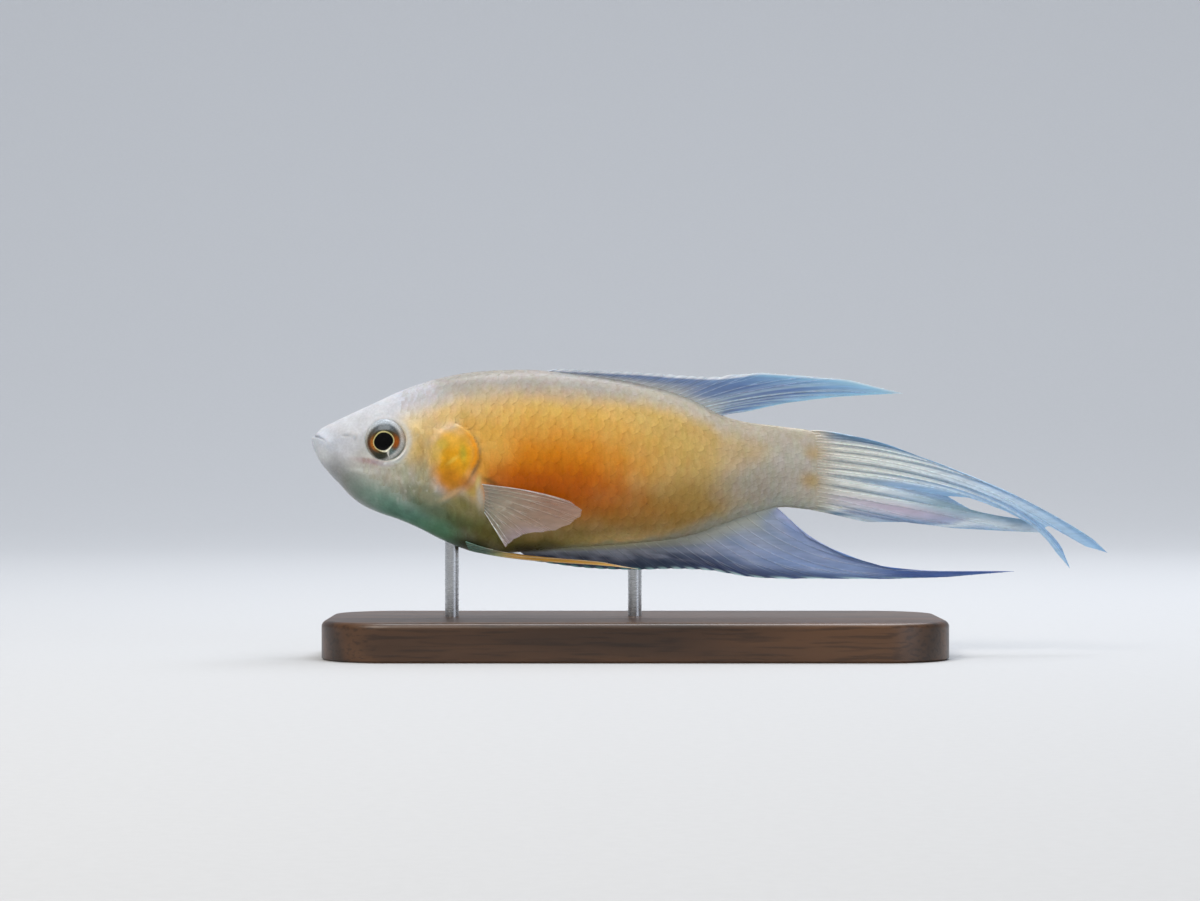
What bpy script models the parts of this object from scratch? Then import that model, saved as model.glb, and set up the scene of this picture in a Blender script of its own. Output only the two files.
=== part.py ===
"""A gold paradise fish, life-size, swimming level to the left on a plain display stand.

The fish is drawn in its own frame, in millimetres: x runs back from the tip of the snout,
y runs to the fish's right side, and z is height above the tip of the snout. place() moves
that frame into the part's, in metres, whose origin is the bottom centre of the whole model.
"""

import math

import bmesh
import bpy
import numpy as np

MM = 0.001

# Driving sizes of the fish, in millimetres
STANDARD_LENGTH = 65.0
TOTAL_LENGTH = 103.9
SNOUT_HEIGHT = 28.0
JOINT_GAP = 0.3
TAIL_SWEEP = 0.8
SWEEP_START = 40.0
SWEEP_SPAN = 25.0
CLEAR_OF_FISH = 30.0

# How finely the round forms are faceted
HEAD_STATIONS = 35
HEAD_AROUND = 48
FIRST_STATION = 0.004
SNOUT_CROWDING = 2.2
TORSO_STATIONS = 30
TORSO_AROUND = 36
STALK_STATIONS = 5
STALK_AROUND = 32
EYE_SEGMENTS = 24
EYE_RINGS = 8
NOSTRIL_SIDES = 8
ROD_SIDES = 16
CORNER_STEPS = 6

# Profiles of the body without its fins: distance behind the snout, and height
BACK = [
    (0.0, -0.1), (0.1, 0.42), (0.55, 0.74), (1.04, 1.38), (1.95, 1.88), (3.64, 2.72),
    (6.24, 3.93), (8.84, 5.14), (11.44, 6.34), (14.04, 7.32), (16.64, 8.05), (20.5, 8.8),
    (24.44, 9.1), (29.5, 9.1), (33.5, 8.7), (37.4, 8.25), (42.6, 7.4), (47.8, 5.95),
    (50.4, 4.85), (53.3, 3.25), (55.6, 2.55), (60.8, 1.82), (65.6, 1.05),
]
BELLY = [
    (0.0, -0.1), (0.06, -0.75), (0.52, -1.85), (1.04, -2.86), (2.34, -4.48), (3.64, -5.85),
    (4.94, -7.25), (6.24, -8.3), (8.84, -9.55), (11.44, -10.45), (14.04, -11.6),
    (16.64, -12.95), (19.24, -14.1), (21.84, -14.8), (24.44, -14.85), (28.3, -14.5),
    (32.2, -14.15), (37.4, -13.85), (42.6, -13.45), (47.8, -12.8), (50.4, -12.15),
    (53.0, -11.2), (55.6, -10.25), (58.2, -9.4), (60.6, -8.85), (65.6, -9.15),
]
HALF_WIDTH = [
    (0.0, 0.4), (0.25, 1.0), (1.0, 1.75), (2.2, 2.45), (4.0, 3.15), (6.5, 3.8), (9.7, 4.45),
    (13.0, 5.05), (17.0, 5.5), (21.0, 5.72), (26.0, 5.75), (31.0, 5.5), (37.0, 5.05),
    (43.0, 4.35), (49.0, 3.5), (55.0, 2.6), (60.8, 1.85), (65.6, 1.15),
]
WIDEST_HEIGHT = [
    (0.0, -0.3), (2.0, -0.9), (5.0, -1.9), (9.7, -2.7), (15.0, -3.4), (22.0, -4.0),
    (32.0, -4.0), (44.0, -3.8), (56.0, -3.7), (65.6, -4.0),
]
BACK_SHARPNESS = [(0.0, 0.9), (10.0, 0.85), (18.0, 0.95), (30.0, 1.15), (65.6, 1.15)]
BELLY_SHARPNESS = [(0.0, 0.9), (10.0, 0.95), (20.0, 0.9), (40.0, 0.95), (65.6, 1.1)]

# The line from nape to throat where the head ends, along the gill cover's free edge
GILL_LINE = [
    (17.6, 12.0), (17.9, 8.4), (18.5, 5.3), (19.1, 2.0), (20.4, 1.3), (21.3, 0.25),
    (21.9, -1.2), (21.85, -2.5), (21.3, -3.8), (20.5, -5.3), (19.4, -6.8), (17.2, -8.4),
    (15.0, -9.5), (13.0, -10.6), (11.8, -11.8), (11.2, -17.0),
]
GILL_COVER_TOP = 3
GILL_COVER_FOOT = 11
GILL_COVER_FRONT = [
    (16.0, -8.55), (15.2, -7.9), (14.85, -6.6), (14.9, -4.6), (15.2, -2.5), (15.75, -0.5),
    (16.6, 1.1), (17.9, 2.0),
]
GILL_COVER_RISE = 0.3
GILL_COVER_INSIDE = 4.15
HEAD_REACH = 23.5
TORSO_FROM = 10.0
STALK_START = 60.8
STALK_END = STANDARD_LENGTH + 0.6

# Marks of the head, in the side view
MOUTH_LINE = [(-1.0, 0.5), (0.6, 0.42), (1.2, 0.34), (1.75, 0.02), (2.15, -0.4)]
MOUTH_SLIT = 0.2
LIP_RISE = 0.2
LIP_WIDTH = 0.65
NOSTRILS = [(4.55, 0.85, 0.25), (5.6, 0.45, 0.3)]
NOSTRIL_FLOOR = 1.6
NOSTRIL_RIM = 0.12
NOSTRIL_RIM_SPREAD = 2.4
CHEEK_LINE = [(13.6, 1.2), (14.0, -2.0), (13.6, -5.0), (12.4, -7.2), (9.6, -8.0)]
CHEEK_GROOVE = 0.16
GROOVE_WIDTH = 0.55

# Eyes: flattened balls that look a little forward
EYE_CENTRE = (9.72, 3.3, -0.05)
EYE_RADIUS = 2.7
EYE_HALF_DEPTH = 1.75
EYE_YAW = math.radians(10.0)
ORBIT_RISE = 0.16
ORBIT_OFFSET = 0.5
ORBIT_WIDTH = 0.6

# Fins: half thicknesses of the membrane, and how far a ray stands out of it
MEMBRANE = 0.25
RAY_RISE = 0.16
FIN_EDGE = 0.17
FIN_ROOT = 0.5
SPINY_NOTCH = 0.04
SOFT_NOTCH = 0.012
RAY_BEND = 0.36
RIDGE_SHARE = 0.3
ROOT_SHARE = 0.2
TIP_SHARE = 0.2
RIDGE_START = 0.125

# Display stand
BASE_LENGTH = 80.0
BASE_WIDTH = 34.0
BASE_HEIGHT = 5.0
BASE_CENTRE = -10.0
BASE_CORNER = 9.0
BASE_CHAMFER = 0.8
ROD_RADIUS = 0.9
ROD_FRONT = (18.2, 0.0)
ROD_REAR = (42.0, 2.5)
ROD_TOP_GAP = 0.35

# Colours are sRGB, with roughness and metallic
MATERIALS = {
    "pale_skin": ("D9D6D2", 0.35, 0.0),
    "gold_skin": ("D98A22", 0.35, 0.0),
    "tail_skin": ("C9BDB0", 0.38, 0.0),
    "gill_gold": ("E0981C", 0.35, 0.0),
    "blue_fin": ("6F86B8", 0.3, 0.0),
    "milky_fin": ("BFD0E6", 0.3, 0.0),
    "clear_fin": ("CDB7AC", 0.25, 0.0),
    "amber_fin": ("E2A552", 0.3, 0.0),
    "eye": ("1A1614", 0.08, 0.0),
    "walnut": ("4A3223", 0.45, 0.0),
    "steel": ("B8BABD", 0.28, 1.0),
}


def linear(hex_colour):
    """Linear RGBA of an sRGB hex colour."""
    parts = [int(hex_colour[i : i + 2], 16) / 255 for i in (0, 2, 4)]
    return [c / 12.92 if c <= 0.04045 else ((c + 0.055) / 1.055) ** 2.4 for c in parts] + [1.0]


def material(name):
    found = bpy.data.materials.get(name)
    if found:
        return found
    colour, roughness, metallic = MATERIALS[name]
    made = bpy.data.materials.new(name)
    made.use_nodes = True
    surface = made.node_tree.nodes["Principled BSDF"]
    surface.inputs["Base Color"].default_value = linear(colour)
    surface.inputs["Roughness"].default_value = roughness
    surface.inputs["Metallic"].default_value = metallic
    made.diffuse_color = linear(colour)
    return made


def smooth(points):
    """The smooth curve through (position, value) points, as a function of the position."""
    at, value = np.array(points, float).T
    step = np.diff(at)
    rise = np.diff(value) / step
    slope = np.empty_like(value)
    slope[0], slope[-1] = rise[0], rise[-1]
    slope[1:-1] = (rise[:-1] * step[1:] + rise[1:] * step[:-1]) / (step[:-1] + step[1:])

    def read(position):
        p = np.clip(position, at[0], at[-1])
        k = np.clip(np.searchsorted(at, p, side="right") - 1, 0, len(step) - 1)
        s = (p - at[k]) / step[k]
        near = (1 + 2 * s) * (1 - s) ** 2 * value[k] + s * (1 - s) ** 2 * step[k] * slope[k]
        far = s * s * (3 - 2 * s) * value[k + 1] - s * s * (1 - s) * step[k] * slope[k + 1]
        return near + far

    return read


def smooth_profile(points):
    """A body profile against x. It is smooth in the root of x, which rounds the snout."""
    rooted = smooth([(math.sqrt(x), value) for x, value in points])
    return lambda x: rooted(np.sqrt(np.maximum(x, 0.0)))


back = smooth_profile(BACK)
belly = smooth_profile(BELLY)
half_width = smooth_profile(HALF_WIDTH)
widest_height = smooth_profile(WIDEST_HEIGHT)
back_sharpness = smooth_profile(BACK_SHARPNESS)
belly_sharpness = smooth_profile(BELLY_SHARPNESS)


def sweep(x):
    """How far the fish's middle line has swung to its right at x."""
    return TAIL_SWEEP * (np.maximum(x - SWEEP_START, 0.0) / SWEEP_SPAN) ** 2


def flank(x, z):
    """Half the body's width at (x, z)."""
    middle = widest_height(x)
    upper = z >= middle
    reach = np.where(upper, back(x) - middle, middle - belly(x))
    share = np.clip(np.abs(z - middle) / np.maximum(reach, 1e-6), 0.0, 1.0)
    sharpness = np.where(upper, back_sharpness(x), belly_sharpness(x))
    return half_width(x) * (1 - share**2) ** (sharpness / 2)


def underside(x, y):
    """Height of the body's underside at (x, y), with y counted from the middle line."""
    share = np.clip(abs(y) / half_width(x), 0.0, 1.0) ** (2 / belly_sharpness(x))
    middle = widest_height(x)
    return middle - (middle - belly(x)) * math.sqrt(1 - share)


def place(points):
    """Points of the fish's frame, in the part's frame and in metres."""
    moved = np.array(points, float).reshape(-1, 3) * MM
    return moved + [-TOTAL_LENGTH / 2 * MM, 0.0, SNOUT_HEIGHT * MM]


def new_object(name, points, faces, finish, smooth_angle=40.0):
    """One mesh object, from points in metres."""
    mesh = bpy.data.meshes.new(name)
    mesh.from_pydata([tuple(p) for p in points], [], [tuple(f) for f in faces])
    mesh.validate()
    worked = bmesh.new()
    worked.from_mesh(mesh)
    bmesh.ops.recalc_face_normals(worked, faces=worked.faces)
    if worked.calc_volume(signed=True) < 0:
        bmesh.ops.reverse_faces(worked, faces=worked.faces)
    worked.to_mesh(mesh)
    worked.free()
    made = bpy.data.objects.new(name, mesh)
    bpy.context.scene.collection.objects.link(made)
    if finish:
        mesh.materials.append(material(finish))
        mesh.shade_smooth()
        mesh.set_sharp_from_angle(angle=math.radians(smooth_angle))
    return made


def drop(obj):
    mesh = obj.data
    bpy.data.objects.remove(obj)
    bpy.data.meshes.remove(mesh)


def cut(obj, tool, operation):
    """Applies one Boolean of tool on obj, removes tool, and keeps obj's largest closed body."""
    modifier = obj.modifiers.new(operation.lower(), "BOOLEAN")
    modifier.operation = operation
    modifier.solver = "EXACT"
    modifier.object = tool
    bpy.context.view_layer.update()
    graph = bpy.context.evaluated_depsgraph_get()
    result = bpy.data.meshes.new_from_object(obj.evaluated_get(graph))
    obj.modifiers.clear()
    old = obj.data
    result.name = old.name
    obj.data = result
    bpy.data.meshes.remove(old)
    drop(tool)
    keep_largest(obj)


def keep_largest(obj):
    """Leaves only the connected piece that spans the largest box."""
    worked = bmesh.new()
    worked.from_mesh(obj.data)
    left = set(worked.verts)
    groups = []
    while left:
        group, front = set(), [left.pop()]
        while front:
            vertex = front.pop()
            group.add(vertex)
            for edge in vertex.link_edges:
                other = edge.other_vert(vertex)
                if other in left:
                    left.remove(other)
                    front.append(other)
        groups.append(group)

    def size(group):
        where = np.array([v.co for v in group])
        return float(np.prod(np.ptp(where, axis=0) + 1e-6))

    groups.sort(key=size, reverse=True)
    for group in groups[1:]:
        bmesh.ops.delete(worked, geom=list(group), context="VERTS")
    worked.to_mesh(obj.data)
    worked.free()


def line_distance(x, z, line):
    """Distance from points (x, z) to a line of straight runs, and their side of it."""
    best = np.full(np.shape(x), np.inf)
    side = np.zeros(np.shape(x))
    for (ax, az), (bx, bz) in zip(line[:-1], line[1:]):
        dx, dz = bx - ax, bz - az
        along = np.clip(((x - ax) * dx + (z - az) * dz) / (dx * dx + dz * dz), 0.0, 1.0)
        away = np.hypot(x - ax - along * dx, z - az - along * dz)
        nearer = away < best
        best = np.where(nearer, away, best)
        side = np.where(nearer, np.sign(dx * (z - az) - dz * (x - ax)), side)
    return best, side


def bump(distance, width):
    """1 at no distance, falling smoothly to 0 at about twice the width."""
    return np.exp(-((distance / width) ** 2))


def cover_share(x, z):
    """1 well inside the gill cover, falling to 0 outside its front edge."""
    line = [(23.0, 2.2), *GILL_COVER_FRONT[::-1], (23.0, -8.9)]
    away, side = line_distance(x, z, line)
    inside = np.clip(0.5 + side * away / GROOVE_WIDTH, 0.0, 1.0)
    return inside * inside * (3 - 2 * inside)


def head_relief(x, z):
    """How far lips, nostrils, eye rims, cheek lines and gill covers stand out of the plain head."""
    away, _ = line_distance(x, z, MOUTH_LINE)
    raised = LIP_RISE * bump(away, LIP_WIDTH)
    for centre_x, centre_z, radius in NOSTRILS:
        away = np.hypot(x - centre_x, z - centre_z)
        raised = raised + NOSTRIL_RIM * bump(away, NOSTRIL_RIM_SPREAD * radius)
    away = np.hypot(x - EYE_CENTRE[0], z - EYE_CENTRE[2])
    raised = raised + ORBIT_RISE * bump(away - EYE_RADIUS - ORBIT_OFFSET, ORBIT_WIDTH)
    away, _ = line_distance(x, z, CHEEK_LINE)
    raised = raised - CHEEK_GROOVE * bump(away, GROOVE_WIDTH)
    return raised + GILL_COVER_RISE * cover_share(x, z)


def body_mesh(name, stations, around, finish, relief=None):
    """A closed length of the body: one ring at each station, and a flat or pointed end."""
    angle = np.arange(around) * 2 * math.pi / around
    rings = []
    for x in stations:
        middle = widest_height(x)
        upper = np.cos(angle) >= 0
        reach = np.where(upper, back(x) - middle, middle - belly(x))
        sharpness = np.where(upper, back_sharpness(x), belly_sharpness(x))
        side = np.abs(np.sin(angle)) ** sharpness * np.sign(np.sin(angle))
        y = half_width(x) * side
        z = middle + reach * np.cos(angle)
        if relief is not None:
            out = np.stack([np.sin(angle) / half_width(x), np.cos(angle) / reach])
            out = out / np.linalg.norm(out, axis=0)
            lift = relief(np.full(around, x), z) * np.minimum(np.abs(np.sin(angle)) * 2.5, 1.0)
            y = y + out[0] * lift
            z = z + out[1] * lift
        rings.append(np.stack([np.full(around, x), y + sweep(x), z], axis=1))
    points = place(np.concatenate(rings))
    faces = []
    for i in range(len(stations) - 1):
        for j in range(around):
            a, b = i * around + j, i * around + (j + 1) % around
            faces += [(a, b, b + around), (a, b + around, a + around)]
    last = (len(stations) - 1) * around
    faces.append(tuple(reversed(range(around))))
    faces.append(tuple(range(last, last + around)))
    return new_object(name, points, faces, finish)


def prism(name, outline, low_y, high_y):
    """A cutter: a closed outline in the side view, drawn out from low_y to high_y."""
    count = len(outline)
    points = [(x, y, z) for y in (low_y, high_y) for x, z in outline]
    faces = [tuple(range(count)), tuple(range(2 * count - 1, count - 1, -1))]
    for i in range(count):
        j = (i + 1) % count
        faces.append((i, i + count, j + count, j))
    made = new_object(name, place(points), faces, None)
    made.hide_render = True
    made.display_type = "WIRE"
    return made


def gill_line(shift, first=0, last=None):
    """The gill line as a smooth run of points, moved back by shift."""
    index = list(range(len(GILL_LINE)))
    xs = smooth(list(zip(index, [p[0] for p in GILL_LINE])))
    zs = smooth(list(zip(index, [p[1] for p in GILL_LINE])))
    last = index[-1] if last is None else last
    steps = np.linspace(first, last, 2 * (last - first) + 1)
    line = np.stack([xs(steps), zs(steps)], axis=1)
    along = np.gradient(line, axis=0)
    along /= np.linalg.norm(along, axis=1, keepdims=True)
    return [(x - shift * dz, z + shift * dx) for (x, z), (dx, dz) in zip(line, along)]


def make_head():
    """The head with its gill covers still on, cut off along the gill line."""
    shares = np.linspace(0.0, 1.0, HEAD_STATIONS) ** SNOUT_CROWDING
    stations = FIRST_STATION + HEAD_REACH * shares
    head = body_mesh("head", stations, HEAD_AROUND, "pale_skin", head_relief)
    far = CLEAR_OF_FISH
    outline = [(-far, -far), (-far, far), *gill_line(-JOINT_GAP / 2)]
    cut(head, prism("head_end", outline, -far, far), "INTERSECT")
    return head


def cover_outline(grown):
    """The gill cover's outline in the side view, grown all round by a distance."""
    rear = gill_line(-JOINT_GAP / 2, GILL_COVER_TOP, GILL_COVER_FOOT)
    line = np.array(rear + GILL_COVER_FRONT)
    along = np.roll(line, -1, axis=0) - np.roll(line, 1, axis=0)
    along /= np.linalg.norm(along, axis=1, keepdims=True)
    return [(x - grown * dz, z + grown * dx) for (x, z), (dx, dz) in zip(line, along)]


def part_gill_covers(head):
    """Parts both gill covers from the head, each a plate that lies in a pocket of the head."""
    for side, name in ((-1, "gill_cover_left"), (1, "gill_cover_right")):
        cover = head.copy()
        cover.data = head.data.copy()
        cover.name = cover.data.name = name
        bpy.context.scene.collection.objects.link(cover)
        ends = sorted((side * GILL_COVER_INSIDE, side * CLEAR_OF_FISH))
        cut(cover, prism("cover_tool", cover_outline(0.0), *ends), "INTERSECT")
        ends = sorted((side * (GILL_COVER_INSIDE - JOINT_GAP), side * CLEAR_OF_FISH))
        cut(head, prism("pocket_tool", cover_outline(JOINT_GAP), *ends), "DIFFERENCE")
        cover.data.materials.clear()
        cover.data.materials.append(material("gill_gold"))


def lens(name, centre, radius, half_depth, finish):
    """A flattened ball whose short axis points sideways and a little forward."""
    segments, rings = EYE_SEGMENTS, EYE_RINGS
    points, faces = [(0.0, half_depth, 0.0)], []
    for i in range(1, rings):
        tilt = math.pi * i / rings
        for j in range(segments):
            turn = 2 * math.pi * j / segments
            ring = radius * math.sin(tilt)
            y = half_depth * math.cos(tilt)
            points.append((ring * math.cos(turn), y, ring * math.sin(turn)))
    points.append((0.0, -half_depth, 0.0))
    foot = len(points) - 1
    for j in range(segments):
        k = (j + 1) % segments
        faces.append((0, 1 + j, 1 + k))
        for i in range(rings - 2):
            a, b = 1 + i * segments + j, 1 + i * segments + k
            faces += [(a, a + segments, b + segments), (a, b + segments, b)]
        faces.append((foot, foot - segments + k, foot - segments + j))
    side = math.copysign(1.0, centre[1])
    cosine, sine = math.cos(EYE_YAW * side), math.sin(EYE_YAW * side)
    turned = [(x * cosine - y * sine, x * sine + y * cosine, z) for x, y, z in points]
    moved = [(x + centre[0], y + centre[1], z + centre[2]) for x, y, z in turned]
    return new_object(name, place(moved), faces, finish, smooth_angle=60.0)


def set_eyes(head):
    """Cuts the sockets and sets an eye in each with the joint's gap around it."""
    for side, name in ((-1, "eye_left"), (1, "eye_right")):
        centre = (EYE_CENTRE[0], side * EYE_CENTRE[1], EYE_CENTRE[2])
        grown = EYE_RADIUS + JOINT_GAP, EYE_HALF_DEPTH + JOINT_GAP
        cut(head, lens("socket_tool", centre, *grown, None), "DIFFERENCE")
        lens(name, centre, EYE_RADIUS, EYE_HALF_DEPTH, "eye")


def open_mouth(head):
    """Cuts the thin line of the closed mouth between the lips."""
    upper = [(x, z + MOUTH_SLIT / 2) for x, z in MOUTH_LINE]
    lower = [(x, z - MOUTH_SLIT / 2) for x, z in MOUTH_LINE]
    outline = [*upper, *reversed(lower)]
    cut(head, prism("mouth_tool", outline, -CLEAR_OF_FISH, CLEAR_OF_FISH), "DIFFERENCE")


def open_nostrils(head):
    """Bores both nostrils of each side straight in, to a shallow floor."""
    for side in (-1, 1):
        for centre_x, centre_z, radius in NOSTRILS:
            turns = np.arange(NOSTRIL_SIDES) * 2 * math.pi / NOSTRIL_SIDES
            ring = [(centre_x + radius * math.cos(t), centre_z + radius * math.sin(t)) for t in turns]
            ends = sorted((side * NOSTRIL_FLOOR, side * CLEAR_OF_FISH))
            cut(head, prism("nostril_tool", ring, *ends), "DIFFERENCE")


def make_torso():
    first, last = math.sqrt(TORSO_FROM), math.sqrt(STALK_START - JOINT_GAP / 2)
    stations = np.linspace(first, last, TORSO_STATIONS) ** 2
    torso = body_mesh("torso", stations, TORSO_AROUND, "gold_skin")
    far = CLEAR_OF_FISH
    outline = [*gill_line(JOINT_GAP / 2), (TOTAL_LENGTH, -far), (TOTAL_LENGTH, far)]
    cut(torso, prism("torso_front", outline, -far, far), "INTERSECT")


def make_stalk():
    stations = np.linspace(STALK_START + JOINT_GAP / 2, STALK_END, STALK_STATIONS)
    body_mesh("tail_stalk", stations, STALK_AROUND, "tail_skin")


def bezier(start, first, second, end, count):
    """Points along a cubic curve."""
    t = np.linspace(0.0, 1.0, count)[:, None]
    start, first, second, end = (np.array(p, float) for p in (start, first, second, end))
    return (
        (1 - t) ** 3 * start
        + 3 * t * (1 - t) ** 2 * first
        + 3 * t * t * (1 - t) * second
        + t**3 * end
    )


def ray_path(root, tip, root_lean, tip_lean, rows):
    """A ray from root to tip in the side view, which leaves and ends at the leans, in degrees."""
    reach = math.hypot(tip[0] - root[0], tip[1] - root[1]) * RAY_BEND
    leave, arrive = math.radians(root_lean), math.radians(tip_lean)
    first = (root[0] + reach * math.cos(leave), root[1] + reach * math.sin(leave))
    second = (tip[0] - reach * math.cos(arrive), tip[1] - reach * math.sin(arrive))
    return bezier(root, first, second, tip, rows)


def sheet_grid(paths, notch):
    """The rays and, between each two, a line of membrane that stops short by a share, notch."""
    rows = len(paths[0])
    share = np.linspace(0.0, 1.0, rows)
    lines = [paths[0]]
    for left, right in zip(paths[:-1], paths[1:]):
        between = (left + right) / 2
        steps = share * (1 - notch)
        short = np.stack([np.interp(steps, share, between[:, k]) for k in (0, 1)], axis=1)
        lines += [short, right]
    return np.array(lines)


def turn_of(one, two, three):
    """Twice the area of a triangle in the side view, negative if it runs clockwise."""
    (ax, az), (bx, bz), (cx, cz) = one, two, three
    return (bx - ax) * (cz - az) - (bz - az) * (cx - ax)


def split_cells(grid):
    """Two triangles for each cell of a fin's grid, on the diagonal that keeps both unfolded."""
    columns, rows = grid.shape[:2]
    spots = grid.reshape(-1, 2)
    way = math.copysign(1.0, turn_of(grid[0, 0], grid[-1, 0], grid[columns // 2, -1]))
    triangles = []
    for i in range(columns - 1):
        for j in range(rows - 1):
            a, b = i * rows + j, (i + 1) * rows + j
            choices = [
                ((a, b, b + 1), (a, b + 1, a + 1)),
                ((a, b, a + 1), (b, b + 1, a + 1)),
            ]
            triangles += max(choices, key=lambda two: min(way * turn_of(*spots[list(t)]) for t in two))
    return triangles


def fin(name, paths, finish, side_place, half_root=FIN_ROOT, notch=SOFT_NOTCH):
    """A closed fin from ray paths in the side view. side_place gives y for each grid point."""
    grid = sheet_grid(paths, notch)
    columns, rows = grid.shape[:2]
    share = np.linspace(0.0, 1.0, rows)[None, :]
    apart = np.linalg.norm(np.gradient(grid, axis=0), axis=2)
    is_ray = (np.arange(columns) % 2 == 0)[:, None]
    grown = np.clip(share / RIDGE_START, 0.0, 1.0)
    ridge = np.minimum(RAY_RISE, RIDGE_SHARE * apart) * is_ray * grown
    root = (half_root - MEMBRANE) * np.clip(1 - share / ROOT_SHARE, 0.0, 1.0) ** 2
    tip = (MEMBRANE - FIN_EDGE) * np.clip(1 - (1 - share) / TIP_SHARE, 0.0, 1.0)
    half = MEMBRANE + ridge + root - tip
    half[[0, -1], :] = np.minimum(half[[0, -1], :], MEMBRANE + root[0])
    y = side_place(grid[:, :, 0], grid[:, :, 1], share, half)
    near = np.stack([grid[:, :, 0], y - half, grid[:, :, 1]], axis=2).reshape(-1, 3)
    far = np.stack([grid[:, :, 0], y + half, grid[:, :, 1]], axis=2).reshape(-1, 3)
    offset = columns * rows
    faces = []
    for one, two, three in split_cells(grid):
        faces.append((one, two, three))
        faces.append((three + offset, two + offset, one + offset))
    rim = [i * rows for i in range(columns)]
    rim += [(columns - 1) * rows + j for j in range(1, rows)]
    rim += [i * rows + rows - 1 for i in range(columns - 2, -1, -1)]
    rim += [j for j in range(rows - 2, 0, -1)]
    for k, a in enumerate(rim):
        b = rim[(k + 1) % len(rim)]
        faces += [(b, a, a + offset), (b, a + offset, b + offset)]
    return new_object(name, place(np.concatenate([near, far])), faces, finish)


def swept_place(height, start, length):
    """side_place for a middle fin: it follows the body's sweep, and waves more towards its edge."""

    def place_at(x, z, share, half):
        return sweep(x) + height * share**2 * np.sin((x - start) / length)

    return place_at


def tips_of(*margins):
    """Functions of a ray's number for its tip, from margins of (number, x, z) that meet."""
    curves = []
    for margin in margins:
        xs = smooth([(n, x) for n, x, z in margin])
        zs = smooth([(n, z) for n, x, z in margin])
        curves.append((margin[-1][0], xs, zs))

    def tip(number):
        for last, xs, zs in curves:
            if number <= last + 1e-9:
                return float(xs(number)), float(zs(number))
        return float(xs(number)), float(zs(number))

    return tip


def on_profile(profile, x, gap):
    """A point at x on a body profile, moved off it by gap."""
    slope = float(profile(x + 0.05) - profile(x - 0.05)) / 0.1
    scale = math.hypot(1.0, slope)
    return x - gap * slope / scale, float(profile(x)) + gap / scale


# Dorsal fin: numbers count its rays from the front, and the streamer ends ray 16
DORSAL_RAYS = 20
DORSAL_ROOT = (30.4, 53.0)
DORSAL_LEADING = [
    (0, 31.9, 9.35), (3, 37.6, 8.9), (6, 42.8, 8.7), (9, 48.5, 8.3), (11, 53.2, 8.2),
    (13, 58.6, 8.8), (14, 63.6, 8.4), (15, 70.0, 7.8), (16, 77.0, 6.05),
]
DORSAL_TRAILING = [(16, 77.0, 6.05), (17, 68.6, 5.55), (18, 62.2, 4.75), (19, 56.2, 3.6)]
DORSAL_BEND = smooth([(0, 0.5), (9, 0.5), (12, 1.5), (13, 3), (16, 9), (19, 5)])
DORSAL_ROWS = 9
DORSAL_WAVE = (0.5, 50.0, 6.0)


def make_dorsal_fin():
    tip = tips_of(DORSAL_LEADING, DORSAL_TRAILING)
    paths = []
    for number in range(DORSAL_RAYS):
        x = DORSAL_ROOT[0] + (DORSAL_ROOT[1] - DORSAL_ROOT[0]) * number / (DORSAL_RAYS - 1)
        root, end = on_profile(back, x, JOINT_GAP), tip(number)
        straight = math.degrees(math.atan2(end[1] - root[1], end[0] - root[0]))
        bend = float(DORSAL_BEND(number))
        paths.append(ray_path(root, end, straight + bend, straight - bend, DORSAL_ROWS))
    fin("dorsal_fin", paths, "blue_fin", swept_place(*DORSAL_WAVE), notch=SPINY_NOTCH)


# Anal fin: numbers count its rays from the front, and the streamer ends ray 22
ANAL_RAYS = 26
ANAL_ROOT = (28.2, 60.2)
ANAL_LEADING = [
    (0, 29.8, -15.95), (4, 35.6, -16.6), (8, 41.6, -16.85), (12, 48.5, -16.75),
    (14, 52.4, -17.0), (16, 57.0, -17.8), (18, 63.4, -18.05), (19, 68.6, -18.1),
    (20, 75.2, -18.15), (21, 83.0, -17.95), (22, 91.9, -17.25),
]
ANAL_TRAILING = [(22, 91.9, -17.25), (23, 76.0, -16.65), (24, 69.3, -15.0), (25, 64.5, -12.7)]
ANAL_ROOT_LEAN = smooth([(0, -38), (8, -42), (16, -38), (21, -40), (25, -40)])
ANAL_TIP_LEAN = smooth([(0, -30), (10, -34), (16, -18), (19, -8), (22, -1), (23, -12), (25, -46)])
ANAL_ROWS = 8
ANAL_WAVE = (-0.6, 56.0, 7.0)


def make_anal_fin():
    tip = tips_of(ANAL_LEADING, ANAL_TRAILING)
    paths = []
    for number in range(ANAL_RAYS):
        x = ANAL_ROOT[0] + (ANAL_ROOT[1] - ANAL_ROOT[0]) * number / (ANAL_RAYS - 1)
        root = on_profile(belly, x, -JOINT_GAP)
        lean = float(ANAL_ROOT_LEAN(number)), float(ANAL_TIP_LEAN(number))
        paths.append(ray_path(root, tip(number), *lean, ANAL_ROWS))
    fin("anal_fin", paths, "blue_fin", swept_place(*ANAL_WAVE), notch=SPINY_NOTCH)


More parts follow.
